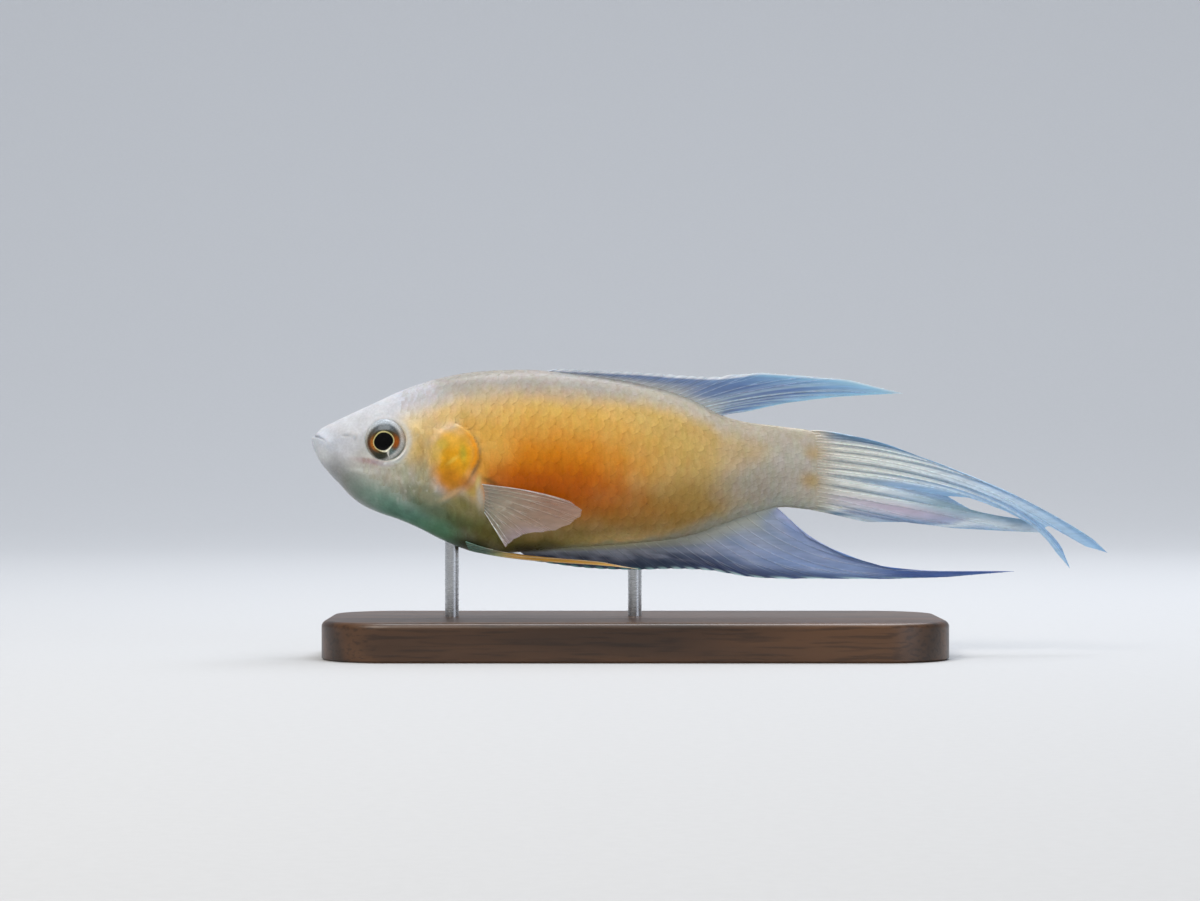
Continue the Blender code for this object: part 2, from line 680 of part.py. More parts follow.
# Tail fin: rays of each lobe are counted from its upper edge
TAIL_ROOT = STALK_END + JOINT_GAP
TAIL_SPLIT = -4.3
TAIL_INSET = 0.2
UPPER_TIPS = [
    (72.3, 0.05), (75.6, -0.8), (79.8, -2.45), (86.2, -4.95), (93.4, -8.1), (102.0, -13.0),
    (TOTAL_LENGTH, -14.8), (96.3, -11.3), (99.0, -16.9), (95.4, -12.0), (91.0, -9.55),
    (86.0, -7.6), (82.4, -7.0),
]
UPPER_TIP_LEANS = [-12, -17, -20, -22, -23, -30, -34, -26, -58, -38, -24, -16, -9]
LOWER_TIPS = [
    (82.2, -7.35), (86.3, -9.3), (90.0, -10.0), (94.6, -10.7), (95.4, -12.2), (89.6, -11.9),
    (83.6, -11.55), (77.4, -10.75), (72.2, -10.75),
]
LOWER_TIP_LEANS = [-9, -18, -8, -8, -10, -4, -8, -8, -14]
TAIL_ROWS = 11
TAIL_ROOT_THICKNESS = 1.5
LOBE_SPREAD = 1.3
SPREAD_START = 74.0
SPREAD_SPAN = 20.0
TAIL_WAVE = (0.25, 5.0)


def make_tail_lobe(name, roots, tips, tip_leans, root_leans, spread):
    """One lobe of the tail fin, rooted on the flat end of the tail's stalk."""
    last = len(tips) - 1
    paths = []
    for number, (tip, lean) in enumerate(zip(tips, tip_leans)):
        share = number / last
        root = (TAIL_ROOT, roots[0] + (roots[1] - roots[0]) * share)
        leave = root_leans[0] + (root_leans[1] - root_leans[0]) * share
        paths.append(ray_path(root, tip, leave, lean, TAIL_ROWS))
    height, length = TAIL_WAVE

    def place_at(x, z, share, half):
        parted = spread * np.clip((x - SPREAD_START) / SPREAD_SPAN, 0.0, 2.0) ** 1.5
        return sweep(x) + parted + height * share * np.sin(x / length)

    fin(name, paths, "milky_fin", place_at, half_root=TAIL_ROOT_THICKNESS / 2)


def make_tail_fin():
    top = float(back(STALK_END)) - TAIL_INSET
    foot = float(belly(STALK_END)) + TAIL_INSET
    gap = JOINT_GAP / 2
    make_tail_lobe(
        "tail_fin_upper_lobe", (top, TAIL_SPLIT + gap), UPPER_TIPS, UPPER_TIP_LEANS,
        (0, -8), -LOBE_SPREAD,
    )
    make_tail_lobe(
        "tail_fin_lower_lobe", (TAIL_SPLIT - gap, foot), LOWER_TIPS, LOWER_TIP_LEANS,
        (-8, -10), LOBE_SPREAD,
    )


# Paired fins: tips are counted from the upper edge
PECTORAL_ROOT = ((22.3, -5.75), (22.6, -9.3))
PECTORAL_TIPS = [
    (33.6, -7.9), (35.2, -9.0), (35.0, -9.8), (33.6, -10.85), (31.8, -11.6), (30.0, -11.85),
    (28.4, -11.95), (27.0, -12.5), (26.1, -13.1), (25.4, -13.75),
]
PECTORAL_CURL = (4.0, 8.0)
PECTORAL_ROWS = 7
PECTORAL_FLARE = 1.5
PECTORAL_ROOT_THICKNESS = 0.64
LEVEL_BY = 0.33
PELVIC_ROOT = ((20.5, -14.25), (20.1, -13.2))
PELVIC_SIDE = 1.6
PELVIC_ROWS = 12
PELVIC_ROOT_THICKNESS = 0.8
PELVIC_ROOT_LEAN = (-16.0, -28.0)
PELVIC_TIP_LEAN = -7.0
PELVIC_TIPS = {
    "pelvic_fin_left": [(42.4, -16.7), (37.0, -15.95), (29.8, -14.95)],
    "pelvic_fin_right": [(37.4, -16.3), (33.0, -15.6), (28.6, -14.9)],
}


def make_pectoral_fin(name, side):
    """A fan that lies along the flank at its root and flares away behind."""
    last = len(PECTORAL_TIPS) - 1
    (top_x, top_z), (foot_x, foot_z) = PECTORAL_ROOT
    paths = []
    for number, tip in enumerate(PECTORAL_TIPS):
        share = number / last
        root = (top_x + (foot_x - top_x) * share, top_z + (foot_z - top_z) * share)
        straight = math.degrees(math.atan2(tip[1] - root[1], tip[0] - root[0]))
        leave, arrive = straight + PECTORAL_CURL[0], straight - PECTORAL_CURL[1] * (1 - share)
        paths.append(ray_path(root, tip, leave, arrive, PECTORAL_ROWS))
    widest = max(value for _, value in HALF_WIDTH)

    def beside(x, z, share, half):
        lies = flank(x, z) + JOINT_GAP + half
        hangs = widest + JOINT_GAP + half + PECTORAL_FLARE * share
        blend = np.clip(share / LEVEL_BY, 0.0, 1.0)
        return side * (lies * (1 - blend) + hangs * blend)

    fin(name, paths, "clear_fin", beside, half_root=PECTORAL_ROOT_THICKNESS / 2)


def make_pelvic_fin(name, side):
    """A folded fin that lies along the belly and trails beside the anal fin as a thread."""
    tips = PELVIC_TIPS[name]
    (low_x, low_z), (high_x, high_z) = PELVIC_ROOT
    paths = []
    for number, tip in enumerate(tips):
        part = number / (len(tips) - 1)
        root = (low_x + (high_x - low_x) * part, low_z + (high_z - low_z) * part)
        leave = PELVIC_ROOT_LEAN[0] + (PELVIC_ROOT_LEAN[1] - PELVIC_ROOT_LEAN[0]) * part
        paths.append(ray_path(root, tip, leave, PELVIC_TIP_LEAN, PELVIC_ROWS))

    def beside(x, z, share, half):
        lies = flank(x, z) + JOINT_GAP + half
        return side * np.maximum(lies, PELVIC_SIDE) + sweep(x)

    fin(name, paths, "amber_fin", beside, half_root=PELVIC_ROOT_THICKNESS / 2)


def make_base():
    """The stand's base: a flat plate with round corners and a chamfered upper edge."""
    outline = []
    for corner_x, corner_y, start in ((1, 1, 0), (-1, 1, 90), (-1, -1, 180), (1, -1, 270)):
        for step in range(CORNER_STEPS + 1):
            turn = math.radians(start + 90 * step / CORNER_STEPS)
            centre_x = BASE_CENTRE + corner_x * (BASE_LENGTH / 2 - BASE_CORNER)
            centre_y = corner_y * (BASE_WIDTH / 2 - BASE_CORNER)
            outline.append((centre_x, centre_y, math.cos(turn), math.sin(turn)))
    levels = [
        (0.0, BASE_CORNER), (BASE_HEIGHT - BASE_CHAMFER, BASE_CORNER),
        (BASE_HEIGHT, BASE_CORNER - BASE_CHAMFER),
    ]
    points = [
        ((x + radius * cosine) * MM, (y + radius * sine) * MM, z * MM)
        for z, radius in levels
        for x, y, cosine, sine in outline
    ]
    count = len(outline)
    faces = [tuple(reversed(range(count))), tuple(range(2 * count, 3 * count))]
    for level in range(2):
        for j in range(count):
            a, b = level * count + j, level * count + (j + 1) % count
            faces.append((a, b, b + count, a + count))
    new_object("stand_base", points, faces, "walnut", smooth_angle=30.0)


def make_rod(name, x, y):
    """A round rod from the base up to the fish, with its top cut to the underside of the body."""
    sides = ROD_SIDES
    turns = [2 * math.pi * j / sides for j in range(sides)]
    ring = [(math.cos(turn), math.sin(turn)) for turn in turns]
    foot_z = BASE_HEIGHT + JOINT_GAP - SNOUT_HEIGHT
    points = []
    for cosine, sine in ring:
        points.append((x + ROD_RADIUS * cosine, y + ROD_RADIUS * sine, foot_z))
    for cosine, sine in ring:
        at_x, at_y = x + ROD_RADIUS * cosine, y + ROD_RADIUS * sine
        top = underside(at_x, at_y - float(sweep(at_x))) - ROD_TOP_GAP
        points.append((at_x, at_y, top))
    top = underside(x, y - float(sweep(x))) - ROD_TOP_GAP
    points.append((x, y, top))
    faces = [tuple(reversed(range(sides)))]
    for j in range(sides):
        k = (j + 1) % sides
        faces.append((j, k, k + sides, j + sides))
        faces.append((j + sides, k + sides, 2 * sides))
    new_object(name, place(points), faces, "steel", smooth_angle=50.0)


def main():
    for obj in list(bpy.data.objects):
        bpy.data.objects.remove(obj)
    head = make_head()
    part_gill_covers(head)
    set_eyes(head)
    open_mouth(head)
    open_nostrils(head)
    make_torso()
    make_stalk()
    make_dorsal_fin()
    make_anal_fin()
    make_tail_fin()
    make_pectoral_fin("pectoral_fin_left", -1)
    make_pectoral_fin("pectoral_fin_right", 1)
    make_pelvic_fin("pelvic_fin_left", -1)
    make_pelvic_fin("pelvic_fin_right", 1)
    make_base()
    make_rod("stand_rod_front", *ROD_FRONT)
    make_rod("stand_rod_rear", *ROD_REAR)


main()
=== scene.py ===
# The looks of a gold paradise fish that swims level to the left on a plain display stand.
# The fish is drawn in its own frame, in millimetres, as its solids are: x runs back from the tip
# of the snout, y runs to the fish's right side, and z is height above the tip of the snout.

import math

import bpy
import numpy as np
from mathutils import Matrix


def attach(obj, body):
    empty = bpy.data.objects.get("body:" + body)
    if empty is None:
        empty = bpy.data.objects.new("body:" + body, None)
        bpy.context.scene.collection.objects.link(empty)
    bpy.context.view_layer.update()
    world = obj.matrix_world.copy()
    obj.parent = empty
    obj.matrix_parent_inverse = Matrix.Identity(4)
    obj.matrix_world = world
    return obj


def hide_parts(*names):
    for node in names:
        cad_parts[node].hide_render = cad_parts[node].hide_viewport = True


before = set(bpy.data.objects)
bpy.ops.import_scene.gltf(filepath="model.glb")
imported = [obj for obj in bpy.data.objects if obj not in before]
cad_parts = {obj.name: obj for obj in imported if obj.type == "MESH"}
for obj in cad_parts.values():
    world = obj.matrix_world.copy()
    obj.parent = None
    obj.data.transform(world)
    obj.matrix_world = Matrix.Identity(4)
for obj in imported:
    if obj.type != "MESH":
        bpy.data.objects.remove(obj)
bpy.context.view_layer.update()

MM = 0.001
TOTAL_LENGTH = 103.9
SNOUT_HEIGHT = 28.0
STALK_END = 65.6
TAIL_SWEEP = 0.8
SWEEP_START = 40.0
SWEEP_SPAN = 25.0
SEED = 11
# A distance at which no mark is left
FAR = 9.0

# The photograph's view: level, square to the fish's left side
PHOTO_WIDTH_MM = 156.0
CAMERA_LENS = 100.0
CAMERA_SENSOR = 36.0
CAMERA_NEAR = 0.01
VIEW_CENTRE_X = -14.5
VIEW_CENTRE_Z = 26.6

# Profiles of the body without its fins: distance behind the snout, and height or half width
BACK = [
    (0.0, -0.1), (0.1, 0.42), (0.55, 0.74), (1.04, 1.38), (1.95, 1.88), (3.64, 2.72),
    (6.24, 3.93), (8.84, 5.14), (11.44, 6.34), (14.04, 7.32), (16.64, 8.05), (20.5, 8.8),
    (24.44, 9.1), (29.5, 9.1), (33.5, 8.7), (37.4, 8.25), (42.6, 7.4), (47.8, 5.95),
    (50.4, 4.85), (53.3, 3.25), (55.6, 2.55), (60.8, 1.82), (65.6, 1.05), (69.0, -0.3),
]
BELLY = [
    (0.0, -0.1), (0.06, -0.75), (0.52, -1.85), (1.04, -2.86), (2.34, -4.48), (3.64, -5.85),
    (4.94, -7.25), (6.24, -8.3), (8.84, -9.55), (11.44, -10.45), (14.04, -11.6),
    (16.64, -12.95), (19.24, -14.1), (21.84, -14.8), (24.44, -14.85), (28.3, -14.5),
    (32.2, -14.15), (37.4, -13.85), (42.6, -13.45), (47.8, -12.8), (50.4, -12.15),
    (53.0, -11.2), (55.6, -10.25), (58.2, -9.4), (60.6, -8.85), (65.6, -9.15), (69.0, -8.95),
]
HALF_WIDTH = [
    (0.0, 0.4), (0.25, 1.0), (1.0, 1.75), (2.2, 2.45), (4.0, 3.15), (6.5, 3.8), (9.7, 4.45),
    (13.0, 5.05), (17.0, 5.5), (21.0, 5.72), (26.0, 5.75), (31.0, 5.5), (37.0, 5.05),
    (43.0, 4.35), (49.0, 3.5), (55.0, 2.6), (60.8, 1.85), (65.6, 1.15), (69.0, 0.05),
]
WIDEST_HEIGHT = [
    (0.0, -0.3), (2.0, -0.9), (5.0, -1.9), (9.7, -2.7), (15.0, -3.4), (22.0, -4.0),
    (32.0, -4.0), (44.0, -3.8), (56.0, -3.7), (65.6, -4.0), (69.0, -4.2),
]
BACK_SHARPNESS = [(0.0, 0.9), (10.0, 0.85), (18.0, 0.95), (30.0, 1.15), (65.6, 1.15)]
BELLY_SHARPNESS = [(0.0, 0.9), (10.0, 0.95), (20.0, 0.9), (40.0, 0.95), (65.6, 1.1)]
SKIN_END = 69.0

# Marks of the head, in the side view
MOUTH_LINE = [(-1.0, 0.62), (0.5, 0.42), (1.1, 0.3), (1.75, -0.05), (2.15, -0.5)]
# Each nostril: its middle, half length and half height
NOSTRILS = [(4.75, 0.5, 0.5, 0.16), (5.85, 0.1, 0.22, 0.4)]
CHEEK_LINE = [(14.1, 1.4), (14.6, -1.6), (14.6, -4.4), (14.0, -6.9)]
GILL_RIM = [
    (18.4, 2.25), (19.1, 2.0), (20.4, 1.3), (21.3, 0.25), (21.9, -1.2), (21.85, -2.5),
    (21.3, -3.8), (20.5, -5.3), (19.4, -6.8), (17.2, -8.4), (15.0, -9.5), (13.0, -10.6),
    (11.2, -11.3),
]
GILL_COVER_FRONT = [
    (23.0, 2.2), (17.9, 2.0), (16.6, 1.1), (15.75, -0.5), (15.2, -2.5), (14.9, -4.6),
    (14.85, -6.6), (15.2, -7.9), (16.0, -8.55), (23.0, -8.9),
]
PECTORAL_BASE = (22.4, -7.5, 1.3, 2.4)
EYE_CENTRE = (9.84, 3.0, -0.12)
EYE_RADIUS = 2.92
EYE_HALF_DEPTH = 1.75
EYE_FULLNESS = 2.6
EYE_OPENING = 2.56
EYE_YAW = math.radians(10.0)
EYE_PITCH = math.radians(8.0)

# Skin and scales
SCALE_DEPTH = 0.085
SKIN_AROUND = 280
HEAD_RINGS = 165
BODY_RINGS = 125
HEAD_LENGTH = 22.0
FIRST_RING = 0.004
RING_SAMPLES = 1441
BAKE_EDGE = 0.03
BAKE_SPAN = 0.94
SCALE_ROWS = 36
CHEEK_SCALE_ROWS = 58
SCALE_LENGTHS = 1.8
SCALE_HEIGHT = 1.5
SCALE_GRID = 7
SCALE_THICKNESS = 0.05
# Length and half width of a scale in the skin's unwrap
SCALE_BAKE = (0.003, 0.0015)
# x, and how far apart the scales' roots lie along the fish there
SCALE_PITCH = [(0.0, 0.8), (12.0, 0.85), (18.0, 1.2), (24.0, 1.42), (48.0, 1.48), (62.0, 1.2), (69.0, 0.95)]
CHEEK_SCALE_PITCH = [(0.0, 0.5), (6.0, 0.52), (14.0, 0.66)]
# x of the first and the last column of scale roots
SCALE_COLUMNS = (11.2, 66.2)
CHEEK_SCALE_COLUMNS = (6.0, 14.0)
# How far a scale's root strays: along the fish in millimetres, and around it in rows
STRAY_ALONG = 0.04
STRAY_AROUND = 0.03


def linear(hex_colour):
    """Linear RGB of an sRGB hex colour."""
    parts = [int(hex_colour[i : i + 2], 16) / 255 for i in (0, 2, 4)]
    return np.array([c / 12.92 if c <= 0.04045 else ((c + 0.055) / 1.055) ** 2.4 for c in parts])


def rgba(hex_colour):
    return (*linear(hex_colour), 1.0)


def mix(one, two, share):
    """Colours between one and two, by a share for each."""
    return one + (two - one) * np.asarray(share)[..., None]


def smooth(points):
    """The smooth curve through (position, value) points, as a function of the position."""
    at, value = np.array(points, float).T
    step = np.diff(at)
    rise = np.diff(value) / step
    slope = np.empty_like(value)
    slope[0], slope[-1] = rise[0], rise[-1]
    slope[1:-1] = (rise[:-1] * step[1:] + rise[1:] * step[:-1]) / (step[:-1] + step[1:])

    def read(position):
        p = np.clip(position, at[0], at[-1])
        k = np.clip(np.searchsorted(at, p, side="right") - 1, 0, len(step) - 1)
        s = (p - at[k]) / step[k]
        near = (1 + 2 * s) * (1 - s) ** 2 * value[k] + s * (1 - s) ** 2 * step[k] * slope[k]
        far = s * s * (3 - 2 * s) * value[k + 1] - s * s * (1 - s) * step[k] * slope[k + 1]
        return near + far

    return read


def smooth_profile(points):
    """A body profile against x. It is smooth in the root of x, which rounds the snout."""
    rooted = smooth([(math.sqrt(x), value) for x, value in points])
    return lambda x: rooted(np.sqrt(np.maximum(x, 0.0)))


back = smooth_profile(BACK)
belly = smooth_profile(BELLY)
half_width = smooth_profile(HALF_WIDTH)
widest_height = smooth_profile(WIDEST_HEIGHT)
back_sharpness = smooth_profile(BACK_SHARPNESS)
belly_sharpness = smooth_profile(BELLY_SHARPNESS)


def sweep(x):
    """How far the fish's middle line has swung to its right at x."""
    return TAIL_SWEEP * (np.maximum(x - SWEEP_START, 0.0) / SWEEP_SPAN) ** 2


def ease(value, low, high):
    """0 up to low and 1 from high on, smooth between them."""
    share = np.clip((value - low) / (high - low), 0.0, 1.0)
    return share * share * (3 - 2 * share)


def within(value, low, full, falling, gone):
    """1 from full to falling, smooth to 0 at low and at gone."""
    return ease(value, low, full) * (1 - ease(value, falling, gone))


def bump(distance, width):
    """1 at no distance, falling smoothly to 0 at about twice the width."""
    return np.exp(-((distance / width) ** 2))


LATTICE_SIZE = 64
LATTICE = np.random.default_rng(SEED).random((LATTICE_SIZE, LATTICE_SIZE))


def patchy(x, z, size):
    """Smooth noise from -1 to 1, in patches of a size in millimetres."""
    u, v = x / size, z / size
    i, j = np.floor(u).astype(int), np.floor(v).astype(int)
    s, t = ease(u - i, 0.0, 1.0), ease(v - j, 0.0, 1.0)
    left, right, foot, top = (k % LATTICE_SIZE for k in (i, i + 1, j, j + 1))
    low = LATTICE[left, foot] * (1 - s) + LATTICE[right, foot] * s
    high = LATTICE[left, top] * (1 - s) + LATTICE[right, top] * s
    return 2 * (low * (1 - t) + high * t) - 1


def line_distance(x, z, line):
    """Distance from points (x, z) to a line of straight runs, their side of it, and how far along."""
    best = np.full(np.shape(x), np.inf)
    side = np.zeros(np.shape(x))
    share = np.zeros(np.shape(x))
    for number, ((ax, az), (bx, bz)) in enumerate(zip(line[:-1], line[1:])):
        dx, dz = bx - ax, bz - az
        along = np.clip(((x - ax) * dx + (z - az) * dz) / (dx * dx + dz * dz), 0.0, 1.0)
        away = np.hypot(x - ax - along * dx, z - az - along * dz)
        nearer = away < best
        best = np.where(nearer, away, best)
        side = np.where(nearer, np.sign(dx * (z - az) - dz * (x - ax)), side)
        share = np.where(nearer, (number + along) / (len(line) - 1), share)
    return best, side, share


def oval(x, z, centre_x, centre_z, half_length, half_height):
    """0 in the middle of an oval and 1 on its edge."""
    return np.hypot((x - centre_x) / half_length, (z - centre_z) / half_height)


def past_gill_rim(x, z):
    """How far behind the gill cover's rim a point lies, less than 0 in front, and how far along."""
    away, side, share = line_distance(x, z, GILL_RIM)
    return np.where(side > 0, away, -away), share


def place(points):
    """Points of the fish's frame, in the part's frame and in metres."""
    moved = np.asarray(points, float).reshape(-1, 3) * MM
    return moved + [-TOTAL_LENGTH / 2 * MM, 0.0, SNOUT_HEIGHT * MM]


def new_piece(name, points, faces, finish, colours=None, corner_uv=None, sharp_degrees=40.0):
    """One mesh object from points in metres, with a colour for each point and a place on OFBake."""
    mesh = bpy.data.meshes.new(name)
    mesh.from_pydata(np.asarray(points).tolist(), [], faces)
    if colours is not None:
        layer = mesh.color_attributes.new("markings", "FLOAT_COLOR", "POINT")
        full = np.concatenate([colours, np.ones((len(colours), 1))], axis=1)
        layer.data.foreach_set("color", full.astype(np.float32).ravel())
    if corner_uv is not None:
        layer = mesh.uv_layers.new(name="OFBake")
        layer.data.foreach_set("uv", np.asarray(corner_uv, np.float32).ravel())
    mesh.materials.append(finish)
    mesh.shade_smooth()
    mesh.set_sharp_from_angle(angle=math.radians(sharp_degrees))
    made = bpy.data.objects.new(name, mesh)
    bpy.context.scene.collection.objects.link(made)
    return made


def keep(piece, slot, *replaced):
    """Rides a piece on the one body and hides the solids that it stands for. Its slot is not used."""
    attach(piece, "root")
    if replaced:
        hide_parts(*replaced)


def tube_faces(rings, sides):
    """Faces of a closed tube, whose points run around one ring after the other."""
    faces = []
    for i in range(rings - 1):
        for j in range(sides):
            k = (j + 1) % sides
            faces.append((i * sides + j, i * sides + k, (i + 1) * sides + k, (i + 1) * sides + j))
    return [*faces, tuple(reversed(range(sides))), tuple(range((rings - 1) * sides, rings * sides))]


def grid_faces(rows, columns):
    """Faces of a grid of points, which run row by row."""
    starts = [i * columns + j for i in range(rows - 1) for j in range(columns - 1)]
    return [(a, a + 1, a + columns + 1, a + columns) for a in starts]


def grid_rim(rows, columns):
    """Numbers of the points on the rim of such a grid, once around."""
    rim = list(range(columns)) + [i * columns + columns - 1 for i in range(1, rows)]
    rim += [(rows - 1) * columns + j for j in range(columns - 2, -1, -1)]
    return rim + [i * columns for i in range(rows - 2, 0, -1)]


# Camera, lamps and floor. Here alone, places and sizes are in metres.
FISH_MIDDLE = (-0.01, 0.0, 0.028)
# Each lamp: its name, its place, what it aims at, its width, its watts and its colour
LAMPS = [
    ("key", (-0.22, -0.34, 0.42), FISH_MIDDLE, 0.30, 1.9, "FFF6EA"),
    ("fill", (0.42, -0.40, 0.16), FISH_MIDDLE, 0.40, 0.63, "EAF1FF"),
    ("top", (0.05, 0.08, 0.48), FISH_MIDDLE, 0.34, 0.85, "FFFFFF"),
    ("rim", (0.15, 0.26, 0.42), FISH_MIDDLE, 0.25, 0.8, "F2F6FF"),
    ("backdrop", (0.0, 0.35, 1.3), (0.0, 1.6, 0.35), 0.8, 14.0, "F4F7FF"),
]
STUDIO_COLOUR = "DDE1E6"
STUDIO_STRENGTH = 0.61
PAPER_FLAT = 0.5
PAPER_BEND = 1.6
PAPER_TOP = 3.2
PAPER_SIDES = 64
PAPER_STEPS = 24


def set_camera():
    data = bpy.data.cameras.new("camera")
    data.lens = CAMERA_LENS
    data.sensor_width = CAMERA_SENSOR
    data.clip_start = CAMERA_NEAR
    camera = bpy.data.objects.new("camera", data)
    distance = PHOTO_WIDTH_MM * CAMERA_LENS / CAMERA_SENSOR
    camera.location = (VIEW_CENTRE_X * MM, -distance * MM, VIEW_CENTRE_Z * MM)
    camera.rotation_euler = (math.radians(90.0), 0.0, 0.0)
    bpy.context.scene.collection.objects.link(camera)
    bpy.context.scene.camera = camera


def set_lights():
    for name, place_at, aim, size, watts, colour in LAMPS:
        data = bpy.data.lights.new(name, "AREA")
        data.shape = "DISK"
        data.size = size
        data.energy = watts
        data.color = linear(colour)
        light = bpy.data.objects.new(name, data)
        light.location = place_at
        away = np.array(aim) - np.array(place_at)
        rise = math.atan2(away[2], math.hypot(away[0], away[1]))
        light.rotation_euler = (math.pi / 2 + rise, 0.0, math.atan2(away[1], away[0]) - math.pi / 2)
        bpy.context.scene.collection.objects.link(light)
    world = bpy.data.worlds.new("studio")
    world.use_nodes = True
    sky = world.node_tree.nodes["Background"]
    sky.inputs["Color"].default_value = rgba(STUDIO_COLOUR)
    sky.inputs["Strength"].default_value = STUDIO_STRENGTH
    bpy.context.scene.world = world
    bpy.context.scene.view_settings.view_transform = "Standard"


def make_floor(finish):
    """A round paper sweep: flat under the stand, and curving up all around, far from it."""
    profile = [(PAPER_FLAT, 0.0)]
    for step in range(1, PAPER_STEPS + 1):
        turn = math.pi / 2 * step / PAPER_STEPS
        profile.append((PAPER_FLAT + PAPER_BEND * math.sin(turn), PAPER_BEND * (1 - math.cos(turn))))
    profile.append((PAPER_FLAT + PAPER_BEND, PAPER_TOP))
    turns = np.arange(PAPER_SIDES) * 2 * math.pi / PAPER_SIDES
    points = [(0.0, 0.0, 0.0)]
    for reach, height in profile:
        points += [(reach * math.cos(t), reach * math.sin(t), height) for t in turns]
    faces = [(0, 1 + j, 1 + (j + 1) % PAPER_SIDES) for j in range(PAPER_SIDES)]
    for level in range(len(profile) - 1):
        first = 1 + level * PAPER_SIDES
        above = first + PAPER_SIDES
        for j in range(PAPER_SIDES):
            k = (j + 1) % PAPER_SIDES
            faces.append((first + j, above + j, above + k, first + k))
    new_piece("paper_sweep", points, faces, finish)


# Materials
SLIME_IOR = 1.34


def feed(tree, target, inputs):
    """Gives each of a node's sockets its value, or the socket that feeds it."""
    for key, value in inputs.items():
        if isinstance(value, bpy.types.NodeSocket):
            tree.links.new(value, target.inputs[key])
        else:
            target.inputs[key].default_value = value


def node(tree, kind, inputs=None, **settings):
    """Adds one node with its settings, and feeds its sockets."""
    made = tree.nodes.new(kind)
    for key, value in settings.items():
        setattr(made, key, value)
    feed(tree, made, inputs or {})
    return made


def new_material(name):
    """A material with nodes, its tree, its Principled shader and its place in metres."""
    made = bpy.data.materials.new(name)
    made.use_nodes = True
    tree = made.node_tree
    spot = node(tree, "ShaderNodeTexCoord").outputs["Object"]
    return made, tree, tree.nodes["Principled BSDF"], spot


def marked_material(name):
    """A new material, followed by the colour that the fish's markings give each point."""
    made, tree, shader, spot = new_material(name)
    colour = node(tree, "ShaderNodeVertexColor", layer_name="markings").outputs["Color"]
    return made, tree, shader, spot, colour


def per_mm(size):
    """The texture scale that gives a pattern of this size in millimetres."""
    return 1000.0 / size


def mottle(tree, spot, size, low, high, dark, light, detail=3.0):
    """Soft patches of a size in millimetres. Noise from low to high runs from dark to light."""
    noise = node(tree, "ShaderNodeTexNoise", {"Vector": spot, "Scale": per_mm(size), "Detail": detail})
    return node(tree, "ShaderNodeMapRange", {
        "Value": noise.outputs["Fac"],
        "From Min": low, "From Max": high, "To Min": dark, "To Max": light,
    }).outputs["Result"]


def dappled(tree, colour, spot, size, one, two):
    """A colour multiplied by patches of two tints, of a size in millimetres."""
    share = mottle(tree, spot, size, low=0.36, high=0.64, dark=0.0, light=1.0)
    tints = node(tree, "ShaderNodeMix", {"Factor": share, "A": rgba(one), "B": rgba(two)}, data_type="RGBA")
    return node(tree, "ShaderNodeMix", {
        "Factor": 1.0, "A": colour, "B": tints.outputs["Result"],
    }, data_type="RGBA", blend_type="MULTIPLY").outputs["Result"]


def times(tree, colour, factor):
    """A colour multiplied by a grey."""
    grey = node(tree, "ShaderNodeCombineColor", {"Red": factor, "Green": factor, "Blue": factor})
    return node(tree, "ShaderNodeMix", {
        "Factor": 1.0, "A": colour, "B": grey.outputs["Color"],
    }, data_type="RGBA", blend_type="MULTIPLY").outputs["Result"]


def fish_skin():
    """Live fish skin under slime: soft, a little see-through, with a wet gloss and fine speckles."""
    made, tree, shader, spot, colour = marked_material("slimed_fish_skin")
    speckle = mottle(tree, spot, size=0.3, low=0.38, high=0.62, dark=0.95, light=1.04)
    patch = mottle(tree, spot, size=1.5, low=0.35, high=0.65, dark=0.93, light=1.05)
    grain = node(tree, "ShaderNodeTexNoise", {"Vector": spot, "Scale": per_mm(0.35), "Detail": 4.0})
    relief = node(tree, "ShaderNodeBump", {
        "Height": grain.outputs["Fac"], "Strength": 0.22, "Distance": 0.06 * MM,
    })
    feed(tree, shader, {
        "Base Color": times(tree, times(tree, colour, speckle), patch),
        "Roughness": mottle(tree, spot, size=0.8, low=0.35, high=0.65, dark=0.32, light=0.46),
        "Normal": relief.outputs["Normal"], "IOR": 1.4, "Specular IOR Level": 0.22,
        "Subsurface Weight": 0.2, "Subsurface Scale": 0.6 * MM, "Subsurface Radius": (1.0, 0.55, 0.35),
        "Coat Weight": 0.12, "Coat Roughness": 0.2, "Coat IOR": SLIME_IOR,
    })
    return made


